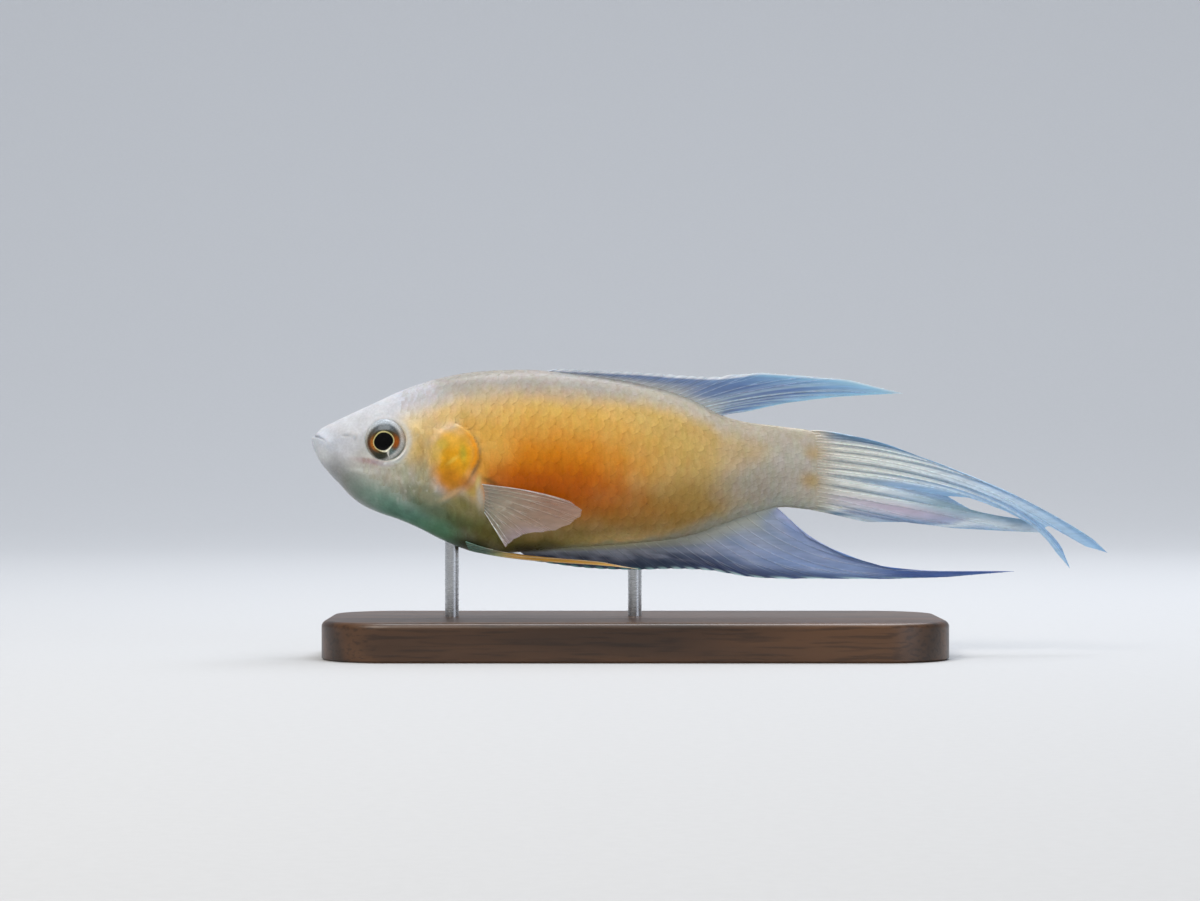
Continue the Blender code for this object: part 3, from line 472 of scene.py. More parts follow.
def scale_plate():
    """Thin bony scales backed with silver guanine: a pearly gloss, and fine growth ridges."""
    made, tree, shader, spot, colour = marked_material("guanine_backed_scale")
    speckle = mottle(tree, spot, size=0.22, low=0.38, high=0.62, dark=0.96, light=1.04)
    # Pigment lies in short upright dashes, about 0.5 mm wide and three times as high.
    upright = node(tree, "ShaderNodeMapping", {"Vector": spot, "Scale": (1.0, 1.0, 0.33)}).outputs["Vector"]
    colour = dappled(tree, times(tree, colour, speckle), upright, 0.5, "F4F0EA", "FFFFFF")
    # Real growth ridges are about 0.03 mm apart. They are drawn at 0.12 mm, the finest that shows.
    ridges = node(tree, "ShaderNodeTexNoise", {"Vector": spot, "Scale": per_mm(0.12), "Detail": 2.0})
    relief = node(tree, "ShaderNodeBump", {
        "Height": ridges.outputs["Fac"], "Strength": 0.15, "Distance": 0.03 * MM,
    })
    feed(tree, shader, {
        "Base Color": dappled(tree, colour, upright, 0.9, "FFF8F8", "FBFCF5"),
        "Roughness": mottle(tree, spot, size=0.5, low=0.35, high=0.65, dark=0.26, light=0.4),
        "Normal": relief.outputs["Normal"], "IOR": 1.45, "Specular IOR Level": 0.14,
        "Subsurface Weight": 0.1, "Subsurface Scale": 0.4 * MM, "Subsurface Radius": (1.0, 0.5, 0.25),
        "Coat Weight": 0.06, "Coat Roughness": 0.14, "Coat IOR": SLIME_IOR,
    })
    return made


def fin_membrane(name, opacity, streak_mm, along):
    """Fin skin, two cells thick and wet: see-through, glossy, streaked along its rays."""
    made, tree, shader, spot, colour = marked_material(name)
    stretch = node(tree, "ShaderNodeMapping", {
        "Vector": spot, "Rotation": (0.0, along, 0.0), "Scale": (0.12, 1.0, 1.0),
    }).outputs["Vector"]
    streak = mottle(tree, stretch, streak_mm, low=0.32, high=0.68, dark=0.9, light=1.07)
    thin, thick = opacity - 0.07, opacity + 0.07
    feed(tree, shader, {
        "Base Color": times(tree, colour, streak),
        "Alpha": mottle(tree, stretch, 1.6 * streak_mm, low=0.3, high=0.7, dark=thin, light=thick),
        "Roughness": 0.3, "IOR": 1.38,
        "Subsurface Weight": 0.15, "Subsurface Scale": 0.3 * MM, "Subsurface Radius": (1.0, 0.9, 0.9),
        "Coat Weight": 0.3, "Coat Roughness": 0.1, "Coat IOR": SLIME_IOR,
    })
    return made


def fin_ray(name):
    """Fin rays: jointed rods of pale bone under wet skin, with a joint about each half millimetre."""
    made, tree, shader, spot, colour = marked_material(name)
    joints = mottle(tree, spot, size=0.5, low=0.4, high=0.6, dark=0.9, light=1.08, detail=1.0)
    feed(tree, shader, {
        "Base Color": times(tree, colour, joints), "Roughness": 0.34, "IOR": 1.5,
        "Subsurface Weight": 0.2, "Subsurface Scale": 0.3 * MM,
        "Coat Weight": 0.2, "Coat Roughness": 0.1, "Coat IOR": SLIME_IOR,
    })
    return made


def fin_finishes(colour, opacity, streak_mm, along):
    """A fin's two materials: its membrane and its rays. along is the lean of its streaks."""
    membrane = fin_membrane(colour + "_fin_membrane", opacity, streak_mm, along)
    return membrane, fin_ray(colour + "_fin_ray_bone")


def wet_eye():
    """The eye under its clear, wet cornea: a mirror-smooth coat over a fibrous iris."""
    made, tree, shader, spot, colour = marked_material("wet_cornea_over_iris")
    fibres = mottle(tree, spot, size=0.16, low=0.35, high=0.65, dark=0.78, light=1.18)
    feed(tree, shader, {
        "Base Color": times(tree, colour, fibres),
        "Roughness": 0.3, "IOR": 1.38, "Specular IOR Level": 0.1,
        "Coat Weight": 0.45, "Coat Roughness": 0.01, "Coat IOR": SLIME_IOR,
    })
    return made


def oiled_walnut():
    """Walnut, planed and oiled: dark brown with long grain along the base and open pores."""
    made, tree, shader, spot = new_material("oiled_walnut")
    # Growth rings in a walnut board lie about 3 mm apart, and pores are about 0.2 mm wide.
    # The board is sawn a little aslant, so its rings run out in long uneven bands.
    board = node(tree, "ShaderNodeMapping", {
        "Vector": spot, "Rotation": (0.35, 0.03, 0.06), "Scale": (0.07, 1.0, 0.6),
    }).outputs["Vector"]
    wander = node(tree, "ShaderNodeTexNoise", {"Vector": board, "Scale": per_mm(7.0), "Detail": 4.0})
    rings = node(tree, "ShaderNodeTexWave", {
        "Vector": board, "Scale": per_mm(16.0), "Distortion": 11.0, "Detail": 4.0, "Detail Scale": 1.6,
    }, bands_direction="Y")
    depth = node(tree, "ShaderNodeMix", {
        "Factor": 0.6, "A": rings.outputs["Fac"], "B": wander.outputs["Fac"],
    }, data_type="FLOAT")
    tones = node(tree, "ShaderNodeValToRGB", {"Fac": depth.outputs["Result"]})
    ramp = tones.color_ramp.elements
    ramp[0].position, ramp[0].color = 0.25, rgba("3A2616")
    ramp[1].position, ramp[1].color = 0.8, rgba("664529")
    middle = ramp.new(0.52)
    middle.color = rgba("4E341F")
    fine = node(tree, "ShaderNodeMapping", {"Vector": spot, "Scale": (0.06, 1.0, 1.0)}).outputs["Vector"]
    pores = mottle(tree, fine, size=0.45, low=0.36, high=0.5, dark=0.6, light=1.0, detail=2.0)
    relief = node(tree, "ShaderNodeBump", {"Height": pores, "Strength": 0.3, "Distance": 0.05 * MM})
    feed(tree, shader, {
        "Base Color": times(tree, tones.outputs["Color"], pores), "Normal": relief.outputs["Normal"],
        "Roughness": 0.42, "IOR": 1.48, "Coat Weight": 0.2, "Coat Roughness": 0.25,
    })
    return made


def brushed_steel():
    """Stainless steel rod, drawn and brushed round: bright, with fine rings of scratches."""
    made, tree, shader, spot = new_material("brushed_stainless_steel")
    around = node(tree, "ShaderNodeMapping", {"Vector": spot, "Scale": (0.08, 0.08, 1.0)}).outputs["Vector"]
    lines = node(tree, "ShaderNodeTexNoise", {"Vector": around, "Scale": per_mm(0.1), "Detail": 2.0})
    rough = node(tree, "ShaderNodeMapRange", {
        "Value": lines.outputs["Fac"], "From Min": 0.3, "From Max": 0.7, "To Min": 0.2, "To Max": 0.36,
    })
    relief = node(tree, "ShaderNodeBump", {
        "Height": lines.outputs["Fac"], "Strength": 0.06, "Distance": 0.02 * MM,
    })
    feed(tree, shader, {
        "Base Color": rgba("C4C6C8"), "Metallic": 1.0,
        "Roughness": rough.outputs["Result"], "Normal": relief.outputs["Normal"],
    })
    return made


def studio_paper():
    """Pale matt background paper, with a faint tooth."""
    made, tree, shader, spot = new_material("matt_background_paper")
    tooth = mottle(tree, spot, size=1.2, low=0.3, high=0.7, dark=0.985, light=1.01)
    feed(tree, shader, {
        "Base Color": times(tree, rgba("C4C6C8"), tooth),
        "Roughness": 0.85, "IOR": 1.45, "Specular IOR Level": 0.2,
    })
    return made


# Markings: named soft patches in the side view, the same on both sides of the fish.
# Each is a colour, its middle, its half length and half height, its lean in degrees, how soft its
# edge is, and how strongly it covers what lies below it.
PATCHES = [
    ("rear_gold", "D3B36C", (46.5, -1.5), (12.5, 7.5), -5.0, 0.9, 0.95),
    ("golden_flank", "E4B860", (32.0, 0.4), (15.5, 7.2), -4.0, 0.7, 1.0),
    ("saffron_flank", "DC891E", (31.5, -3.6), (13.5, 5.6), -3.0, 0.75, 1.0),
    ("rear_shade", "A98945", (48.5, -8.4), (9.5, 4.2), 8.0, 0.8, 0.9),
    ("low_flank", "A86A14", (37.5, -9.2), (10.5, 3.2), 0.0, 0.9, 0.9),
    ("burnt_orange", "BC5E02", (30.0, -6.2), (12.0, 3.7), -1.0, 0.8, 1.0),
    ("shoulder", "E4B558", (22.5, 0.2), (4.2, 3.0), -30.0, 0.9, 0.8),
    ("tail_stalk", "C0BEB6", (61.5, -4.0), (7.8, 8.0), 0.0, 0.75, 1.0),
    ("stalk_shade", "A8A498", (57.5, -6.0), (5.5, 2.8), 6.0, 0.9, 0.8),
    ("stalk_gold", "C6B288", (56.6, -1.4), (3.4, 2.0), 0.0, 0.9, 0.8),
    ("ochre_upper", "C6A76C", (65.5, -1.5), (1.7, 1.15), 0.0, 0.9, 0.75),
    ("ochre_lower", "BC9E66", (64.8, -5.3), (1.6, 1.2), -8.0, 0.9, 0.75),
]
# Bands along the belly: each one's colour, its height above the belly's line, and its strength
BELLY_BANDS = [("A9893F", 5.5, 0.5), ("8A7C3E", 3.6, 0.7), ("62623A", 1.8, 0.8)]
VENT_COLOUR = "84876A"
REAR_VENT_COLOUR = "A4AEA8"
HEAD_PATCHES = [
    ("cheek", "B4B39C", (11.5, -4.2), (5.5, 5.2), 0.0, 0.9, 0.9),
    ("under_eye", "BDB8AE", (7.6, -3.8), (3.4, 2.2), -20.0, 0.9, 0.7),
    ("behind_eye", "E9D29C", (14.0, 1.9), (2.9, 2.3), 12.0, 0.9, 0.9),
    ("cheek_gold", "D6B468", (14.3, -1.2), (2.3, 2.9), 8.0, 0.9, 0.9),
    ("cheek_fold", "AAA27E", (14.9, -5.2), (1.3, 2.9), 6.0, 0.9, 0.85),
    ("lower_cover", "6A7A62", (16.4, -9.2), (5.6, 2.3), -30.0, 0.6, 1.0),
    ("jaw", "7A7974", (5.4, -6.0), (6.2, 1.9), -46.0, 0.9, 0.9),
    ("jaw_low", "7D9888", (10.2, -8.1), (6.5, 2.0), -32.0, 0.9, 0.9),
    ("throat", "638F7C", (13.6, -10.9), (7.5, 2.0), -28.0, 0.8, 1.0),
    ("breast", "56643F", (20.4, -10.6), (4.0, 2.5), -14.0, 0.9, 0.95),
    ("rear_throat", "679876", (17.2, -12.0), (3.4, 1.5), -26.0, 0.9, 0.9),
    ("chest", "706E34", (23.4, -12.4), (4.2, 2.4), -6.0, 0.9, 0.9),
    ("chest_shade", "43462C", (20.8, -13.5), (2.8, 1.0), -8.0, 0.9, 0.9),
    ("shoulder_gold", "E6C27A", (17.4, 2.9), (3.6, 1.7), 24.0, 0.9, 0.85),
    ("below_plate", "868050", (19.8, -8.3), (3.6, 1.8), -28.0, 0.9, 1.0),
    ("cheek_foot", "97967A", (15.4, -7.2), (2.4, 1.2), -25.0, 0.9, 0.9),
    ("behind_rim", "D09638", (22.3, -3.9), (1.0, 2.3), 0.0, 0.9, 0.9),
    ("plate_tongue", "A68E44", (21.0, -6.7), (1.3, 1.3), -40.0, 0.9, 0.9),
    ("rim_foot", "CDBE72", (21.8, -5.4), (0.4, 1.0), -12.0, 0.8, 0.7),
    ("gill_plate", "DD9F1E", (18.75, -2.7), (3.05, 4.0), -12.0, 0.45, 1.0),
    ("gill_plate_top", "E8B546", (18.1, 0.2), (2.5, 1.3), -16.0, 0.9, 0.9),
    ("gill_plate_pale", "D2B04C", (16.4, -1.6), (1.1, 1.7), -6.0, 0.9, 0.8),
    ("gill_plate_low", "C67F12", (18.0, -5.2), (2.2, 1.9), -30.0, 0.8, 0.9),
    ("gill_plate_foot", "B9701C", (20.1, -5.6), (1.2, 0.9), -40.0, 0.9, 0.7),
    ("plate_fringe", "CFAC80", (18.4, -7.0), (1.7, 0.4), 30.0, 0.9, 0.7),
    ("gill_plate_straw", "D4B848", (17.2, -0.6), (0.85, 0.75), 0.0, 0.6, 0.7),
    ("gill_plate_lime", "BCA834", (19.9, -1.8), (0.5, 1.3), 6.0, 0.9, 0.9),
    ("gill_plate_glint", "E2C050", (18.6, -2.6), (1.1, 0.28), 36.0, 0.9, 0.6),
    ("eye_streak", "B0989C", (8.3, -2.85), (2.6, 0.45), -9.0, 0.8, 0.9),
    ("eye_glint", "F0EFEA", (9.8, -3.05), (0.24, 0.2), 0.0, 0.8, 0.9),
    ("below_streak", "CDD1CB", (7.6, -4.0), (2.5, 0.42), -4.0, 0.9, 0.75),
    ("snout", "C6CDD8", (1.7, -0.1), (2.6, 1.7), 0.0, 0.9, 0.9),
    ("lower_lip", "CCCFD1", (1.5, -1.9), (1.7, 1.2), -40.0, 0.9, 0.7),
    ("vent_shade", "40402F", (27.4, -14.2), (2.2, 0.8), 0.0, 0.9, 0.8),
    # A painted shadow above the pectoral fin's root
    ("shadow_above_pectoral", "6A4E22", (23.4, -5.4), (1.3, 0.4), -24.0, 0.9, 0.8),
    ("pectoral_root", "B4AE9C", (22.1, -7.5), (0.55, 2.1), 4.0, 0.8, 0.9),
]
GROUND = "CEBB92"
BACK_COLOUR = "A8A5A2"
REAR_BACK_COLOUR = "C0BBAF"
DORSAL_ROOT_COLOUR = "87929C"
NAPE_COLOUR = "C4C7D2"
HEAD_COLOUR = "C8CBD1"
RIM_COLOUR = "EC990E"
FLECK_COLOUR = "E6E6E0"
# Painted shade on the skin around the eye's opening
SOCKET_SHADE_COLOUR = "A9AFB4"
SOCKET_COLOUR = "C3C9CC"
SOCKET_GLINT_COLOUR = "F4F5F4"
SOCKET_LINE_COLOUR = "8C9294"


def ripple(x, z):
    """A smooth, irregular wave about 0 that keeps the patches' edges from looking drawn."""
    return (
        np.sin(1.1 * x + 0.7 * z) * np.sin(0.9 * z - 0.4 * x + 1.0)
        + 0.6 * np.sin(2.3 * x - 1.6 * z + 2.0) * np.sin(1.9 * z + 0.8)
    ) / 1.6


def eye_distance(x, z):
    """How far a point is from the middle of the eye, as an oval a little longer than high."""
    return np.hypot((x - EYE_CENTRE[0]) / 1.03, z - EYE_CENTRE[2])


def cover(colours, x, z, patches):
    """Lays patches over colours, in order."""
    wander = ripple(x, z)
    for _, hex_colour, (at_x, at_z), (half_length, half_height), lean, softness, strength in patches:
        turn = math.radians(lean)
        along = (x - at_x) * math.cos(turn) + (z - at_z) * math.sin(turn)
        across = (z - at_z) * math.cos(turn) - (x - at_x) * math.sin(turn)
        reach = np.hypot(along / half_length, across / half_height) + 0.09 * wander
        share = strength * (1 - ease(reach, 1 - softness, 1 + 0.5 * softness))
        colours = mix(colours, linear(hex_colour), share)
    return colours


def belly_marks(colours, x, z, wander):
    """Lays the belly's bands, the pale flesh over the anal fin's root and painted light along the belly's
    lowest edge on colours.
    """
    above = z - belly(x) + 0.4 * wander
    for hex_colour, high, strength in BELLY_BANDS:
        share = strength * (1 - ease(above, 0.3 * high, high)) * ease(x, 18.0, 25.0)
        colours = mix(colours, linear(hex_colour), share * (1 - ease(x, 30.0, 30.0 + 5.0 * high)))
    vent = mix(linear(VENT_COLOUR), linear(REAR_VENT_COLOUR), ease(x, 36.0, 54.0))
    share = 0.8 * (1 - ease(above, 0.1, 0.9 + 2.0 * ease(x, 42.0, 54.0))) * ease(x, 28.5, 34.0)
    colours = mix(colours, vent, share)
    # Painted light brightens the belly's lowest edge, where shade falls between the belly and the anal
    # fin's root
    low = (1 - ease(z - belly(x), 0.2, 2.2)) * ease(x, 30.0, 35.0) * (1 - 0.8 * ease(x, 36.0, 50.0))
    return colours * (1 + 1.3 * low)[..., None]


def back_marks(colours, x, z, wander):
    """Lays the grey of the back and the slate of the dorsal fin's root on colours."""
    below = back(x) - z + 0.4 * wander
    share = (1 - ease(below, 1.2, 5.2 - 1.6 * ease(x, 34.0, 46.0))) * (1 - 0.4 * ease(x, 50.0, 62.0))
    colours = mix(colours, mix(linear(BACK_COLOUR), linear(REAR_BACK_COLOUR), ease(x, 34.0, 50.0)), share)
    share = 0.65 * (1 - ease(back(x) - z, 0.0, 0.9)) * ease(x, 29.0, 33.0) * (1 - ease(x, 51.0, 54.0))
    return mix(colours, linear(DORSAL_ROOT_COLOUR), share)


def socket_marks(colours, x, z):
    """Lays painted shade around the eye's opening, the pearly lower rim of the socket and a painted glint
    along that rim on colours.
    """
    away = eye_distance(x, z) - EYE_OPENING
    # Painted shade darkens the skin around the eye's opening, least at the top
    socket_shade = 0.4 * (1 - ease(away, 0.0, 0.25)) * (1 - 0.9 * ease(z - EYE_CENTRE[2], -0.5, 1.2))
    colours = mix(colours, linear(SOCKET_SHADE_COLOUR), socket_shade)
    pearly = bump(away - 0.42, 0.32) * ease(x - EYE_CENTRE[0] - 0.4 * z, -1.0, 2.0)
    colours = mix(colours, linear(SOCKET_COLOUR), 0.6 * pearly)
    # Painted highlight: a thin white glint along the socket's lower rear rim
    low_rear = bump(x - EYE_CENTRE[0] - 1.8, 1.0) * ease(EYE_CENTRE[2] - z, 0.6, 1.4)
    colours = mix(colours, linear(SOCKET_GLINT_COLOUR), 0.9 * bump(away - 0.2, 0.1) * low_rear)
    return mix(colours, linear(SOCKET_LINE_COLOUR), 0.5 * bump(away - 0.42, 0.09) * low_rear)


def markings(x, z):
    """The fish's colour at points of its side view, as linear RGB."""
    x, z = np.asarray(x, float), np.asarray(z, float)
    wander = ripple(x, z)
    colours = cover(np.broadcast_to(linear(GROUND), (*x.shape, 3)), x, z, PATCHES)
    colours = back_marks(belly_marks(colours, x, z, wander), x, z, wander)
    # Nape and head turn grey forward of a slanting, wandering line
    edge = x + 0.3 * (z - 2.0) - 1.2 * wander
    colours = mix(colours, linear(NAPE_COLOUR), 1 - ease(edge, 14.0, 21.0))
    colours = mix(colours, linear(HEAD_COLOUR), 1 - ease(edge, 9.5, 15.5))
    colours = cover(colours, x, z, HEAD_PATCHES)
    # Fine flecks lie over the lower face and the cheek
    low_face = within(edge, 4.0, 8.0, 19.0, 25.0) * (1 - ease(z, 0.5, 3.0))
    fleck = 0.6 * patchy(x, z, 0.85) + 0.5 * patchy(x + 9.0, 0.7 * z, 0.42)
    colours = colours * (1 + 0.15 * fleck * low_face)[..., None]
    bright = ease(patchy(x + 31.0, z, 0.55), 0.45, 0.85) * low_face * (1 - ease(edge, 13.0, 15.0))
    bright = bright * ease(z, -9.0, -6.5)
    colours = socket_marks(mix(colours, linear(FLECK_COLOUR), 0.3 * bright), x, z)
    # The gill cover ends in an orange rim, with a thin shadow behind it
    past, share = past_gill_rim(x, z)
    fade = within(share, 0.1, 0.3, 0.45, 0.62)
    inside = fade * 0.9 * bump(np.where(past > 0, FAR, -past - 0.3), 0.34)
    shadow = fade * bump(np.where(past > 0, past - 0.15, FAR), 0.35)
    return mix(colours, linear(RIM_COLOUR), inside) * (1 - 0.22 * shadow)[..., None]


# Body surface


def ring(x, angle):
    """One ring of the body at x: its side and height at each angle from the top."""
    middle = widest_height(x)
    upper = np.cos(angle) >= 0
    reach = np.where(upper, back(x) - middle, middle - belly(x))
    sharpness = np.where(upper, back_sharpness(x), belly_sharpness(x))
    side = np.abs(np.sin(angle)) ** sharpness * np.sign(np.sin(angle))
    return half_width(x) * side, middle + reach * np.cos(angle)


# The reliefs' heights and widths are in millimetres


def gill_relief(x, z):
    """The gill cover's plate stands out and ends in a free rim, with a step down behind it."""
    away, side, _ = line_distance(x, z, GILL_COVER_FRONT)
    inside = ease(side * away, -0.3, 0.5)
    past, share = past_gill_rim(x, z)
    fade = ease(share, 0.0, 0.12) * (1 - 0.92 * ease(share, 0.4, 0.62)) * (1 - ease(share, 0.86, 1.0))
    lip = 0.1 * bump(past + 0.28, 0.26)
    step = 0.42 * ease(past, -0.06, 0.12) * bump(np.maximum(past, 0.0), 1.3)
    covered = 1 - ease(past, -0.06, 0.12)
    return 0.24 * inside * covered * ease(z, -7.2, -3.6) + (lip - step) * fade


def head_relief(x, z):
    """How far lips, nostrils, eye rims, cheek lines and gill covers stand out of the plain head."""
    away, _, _ = line_distance(x, z, MOUTH_LINE)
    raised = 0.2 * bump(away, 0.65)
    for nostril in NOSTRILS:
        hump = np.hypot(x - nostril[0], z - nostril[1] - 0.45)
        raised = raised + 0.1 * bump(hump, 0.55) - 0.14 * bump(oval(x, z, *nostril), 1.0)
    away = eye_distance(x, z) - EYE_OPENING
    raised = raised + 0.08 * bump(away - 0.35, 0.35) + 0.03 * bump(away - 1.05, 0.16)
    raised = raised - 0.8 * (1 - ease(away, -0.2, 0.04))
    away, _, share = line_distance(x, z, CHEEK_LINE)
    raised = raised - 0.14 * bump(away, 0.4) * ease(share, 0.0, 0.25) * (1 - ease(share, 0.7, 1.0))
    return raised + gill_relief(x, z) + 0.2 * bump(oval(x + 0.3, z, *PECTORAL_BASE), 0.7)


def mouth_relief(x, z):
    """The closed mouth: a thin crease between the lips."""
    away, _, share = line_distance(x, z, MOUTH_LINE)
    return -0.26 * bump(away, 0.12) * (1 - ease(share, 0.45, 1.0))


def body_grid():
    """Points and outward directions of the skin, evenly spaced around at each ring."""
    head = HEAD_LENGTH * np.linspace(0.0, 1.0, HEAD_RINGS) ** 1.6 + FIRST_RING
    rear = np.linspace(head[-1], SKIN_END, BODY_RINGS + 1)[1:]
    stations = np.concatenate([head, rear])
    fine = np.linspace(0.0, 2 * math.pi, RING_SAMPLES)
    shares = np.arange(SKIN_AROUND) / SKIN_AROUND
    points = np.empty((len(stations), SKIN_AROUND, 3))
    for row, x in enumerate(stations):
        y, z = ring(x, fine)
        arc = np.concatenate([[0.0], np.cumsum(np.hypot(np.diff(y), np.diff(z)))])
        y, z = ring(x, np.interp(shares * arc[-1], arc, fine))
        points[row] = np.stack([np.full(SKIN_AROUND, x), y + sweep(x), z], axis=1)
    along = np.gradient(points, stations, axis=0)
    around = np.roll(points, -1, axis=1) - np.roll(points, 1, axis=1)
    out = np.cross(around, along)
    out /= np.linalg.norm(out, axis=2, keepdims=True)
    outward = out[:, SKIN_AROUND // 4, 1].mean() > 0
    return stations, points, out if outward else -out


stations, plain_body, outward = body_grid()
side_fade = np.minimum(np.abs(outward[:, :, 1]) * 2.5, 1.0)
lifted = head_relief(plain_body[:, :, 0], plain_body[:, :, 2]) * side_fade
lifted = lifted + mouth_relief(plain_body[:, :, 0], plain_body[:, :, 2])
coat_depth = SCALE_DEPTH * (0.35 + 0.65 * ease(plain_body[:, :, 0], 8.0, 20.0))
skin_points = plain_body + outward * (lifted - coat_depth)[..., None]
# The lips swell to the sides alone, so that the snout ends where its solid does
LIP_END = 0.7
SNOUT_TIP = 0.01
lip_reach = max(LIP_END - float(skin_points[:, :, 0].min()), LIP_END)
skin_points[:, :, 0] = np.where(
    skin_points[:, :, 0] < LIP_END,
    LIP_END - (LIP_END - skin_points[:, :, 0]) * (LIP_END - SNOUT_TIP) / lip_reach,
    skin_points[:, :, 0],
)


def on_skin(x, share):
    """Points and outward directions of the skin at x and at a share of the way around."""
    row = np.clip(np.interp(x, stations, np.arange(len(stations))), 0, len(stations) - 1.001)
    column = (share % 1.0) * SKIN_AROUND
    i, j = row.astype(int), column.astype(int) % SKIN_AROUND
    k = (j + 1) % SKIN_AROUND
    u, v = (row - i)[..., None], (column - np.floor(column))[..., None]

    def read(grid):
        near = grid[i, j] * (1 - v) + grid[i, k] * v
        return near * (1 - u) + (grid[i + 1, j] * (1 - v) + grid[i + 1, k] * v) * u

    return read(skin_points), read(outward)


def bake_place(x, share):
    """A spot of the skin's own unwrap: along the fish, and around it from the back."""
    along = BAKE_EDGE + BAKE_SPAN * x / SKIN_END
    along, around = np.broadcast_arrays(along, BAKE_EDGE + BAKE_SPAN * share)
    return np.stack([along, around], axis=-1)


def make_skin(finish):
    """The skin of body and head in one piece, with its markings, mouth line and nostrils."""
    rows, columns = skin_points.shape[:2]
    ends = bake_place(stations[:, None], np.arange(columns + 1)[None, :] / columns)
    corner_uv = []
    for i in range(rows - 1):
        for j in range(columns):
            corner_uv += [ends[i, j], ends[i, j + 1], ends[i + 1, j + 1], ends[i + 1, j]]
    corner_uv += [ends[0, columns - 1 - j] for j in range(columns)]
    corner_uv += [ends[-1, j] for j in range(columns)]
    x, z = plain_body[:, :, 0], plain_body[:, :, 2]
    crease, _, _ = line_distance(x, z, MOUTH_LINE)
    shade = 1 - 0.2 * bump(crease, 0.14) * (1 - ease(x, 0.9, 1.8))
    for nostril in NOSTRILS:
        shade = shade * (1 - 0.16 * bump(oval(x, z, *nostril), 1.1))
    colours = (markings(x, z) * shade[..., None]).reshape(-1, 3)
    faces = tube_faces(rows, columns)
    piece = new_piece("skin", place(skin_points), faces, finish, colours, corner_uv, sharp_degrees=80.0)
    keep(piece, "pale_skin", "head", "torso", "tail_stalk", "gill_cover_left", "gill_cover_right")


# Scales


def body_area(x, z):
    """Where the body's scales are rooted: behind the head, around the pectoral fin's base."""
    past, share = past_gill_rim(x, z)
    near_rim = (past > -2.0) & (past < 0.1) & (share > 0.02) & (share < 0.6)
    plate = (past < 0.1) & (x > 15.0) & (z < 2.4) & (z > -8.3)
    base = oval(x + 0.7, z, *PECTORAL_BASE) < 1.0
    eye = eye_distance(x, z) < EYE_OPENING + 1.2
    return ~(near_rim | plate | base | eye | (x + 0.4 * z + 0.9 * patchy(x, z, 1.4) < 12.4))


def cheek_area(x, z):
    """Where the cheek's small scales are rooted: below and behind the eye, down to the jaw."""
    eye = eye_distance(x + 0.3, z) < EYE_OPENING + 1.0
    return ~eye & (x < 13.7) & (x > 6.4) & (z < 1.0) & (z > -2.6 - 0.62 * (x - 4.0))


def scale_roots(ends, rows, pitch, area):
    """Where scales are rooted: their x, share around and length, and three chances for each."""
    draw = np.random.default_rng(SEED)
    columns = [ends[0]]
    while columns[-1] < ends[1]:
        columns.append(columns[-1] + float(pitch(columns[-1])) / 2)
    roots = []
    for number, x in enumerate(columns):
        for row in range(number % 2, rows, 2):
            share = (row + 0.5 + STRAY_AROUND * draw.standard_normal()) / rows
            roots.append((x + STRAY_ALONG * draw.standard_normal(), share % 1.0, float(pitch(x))))
    x, share, length = np.array(roots).T
    kept = area(x, on_skin(x, share)[0][:, 2])
    return x[kept], share[kept], length[kept], draw.random((kept.sum(), 3))


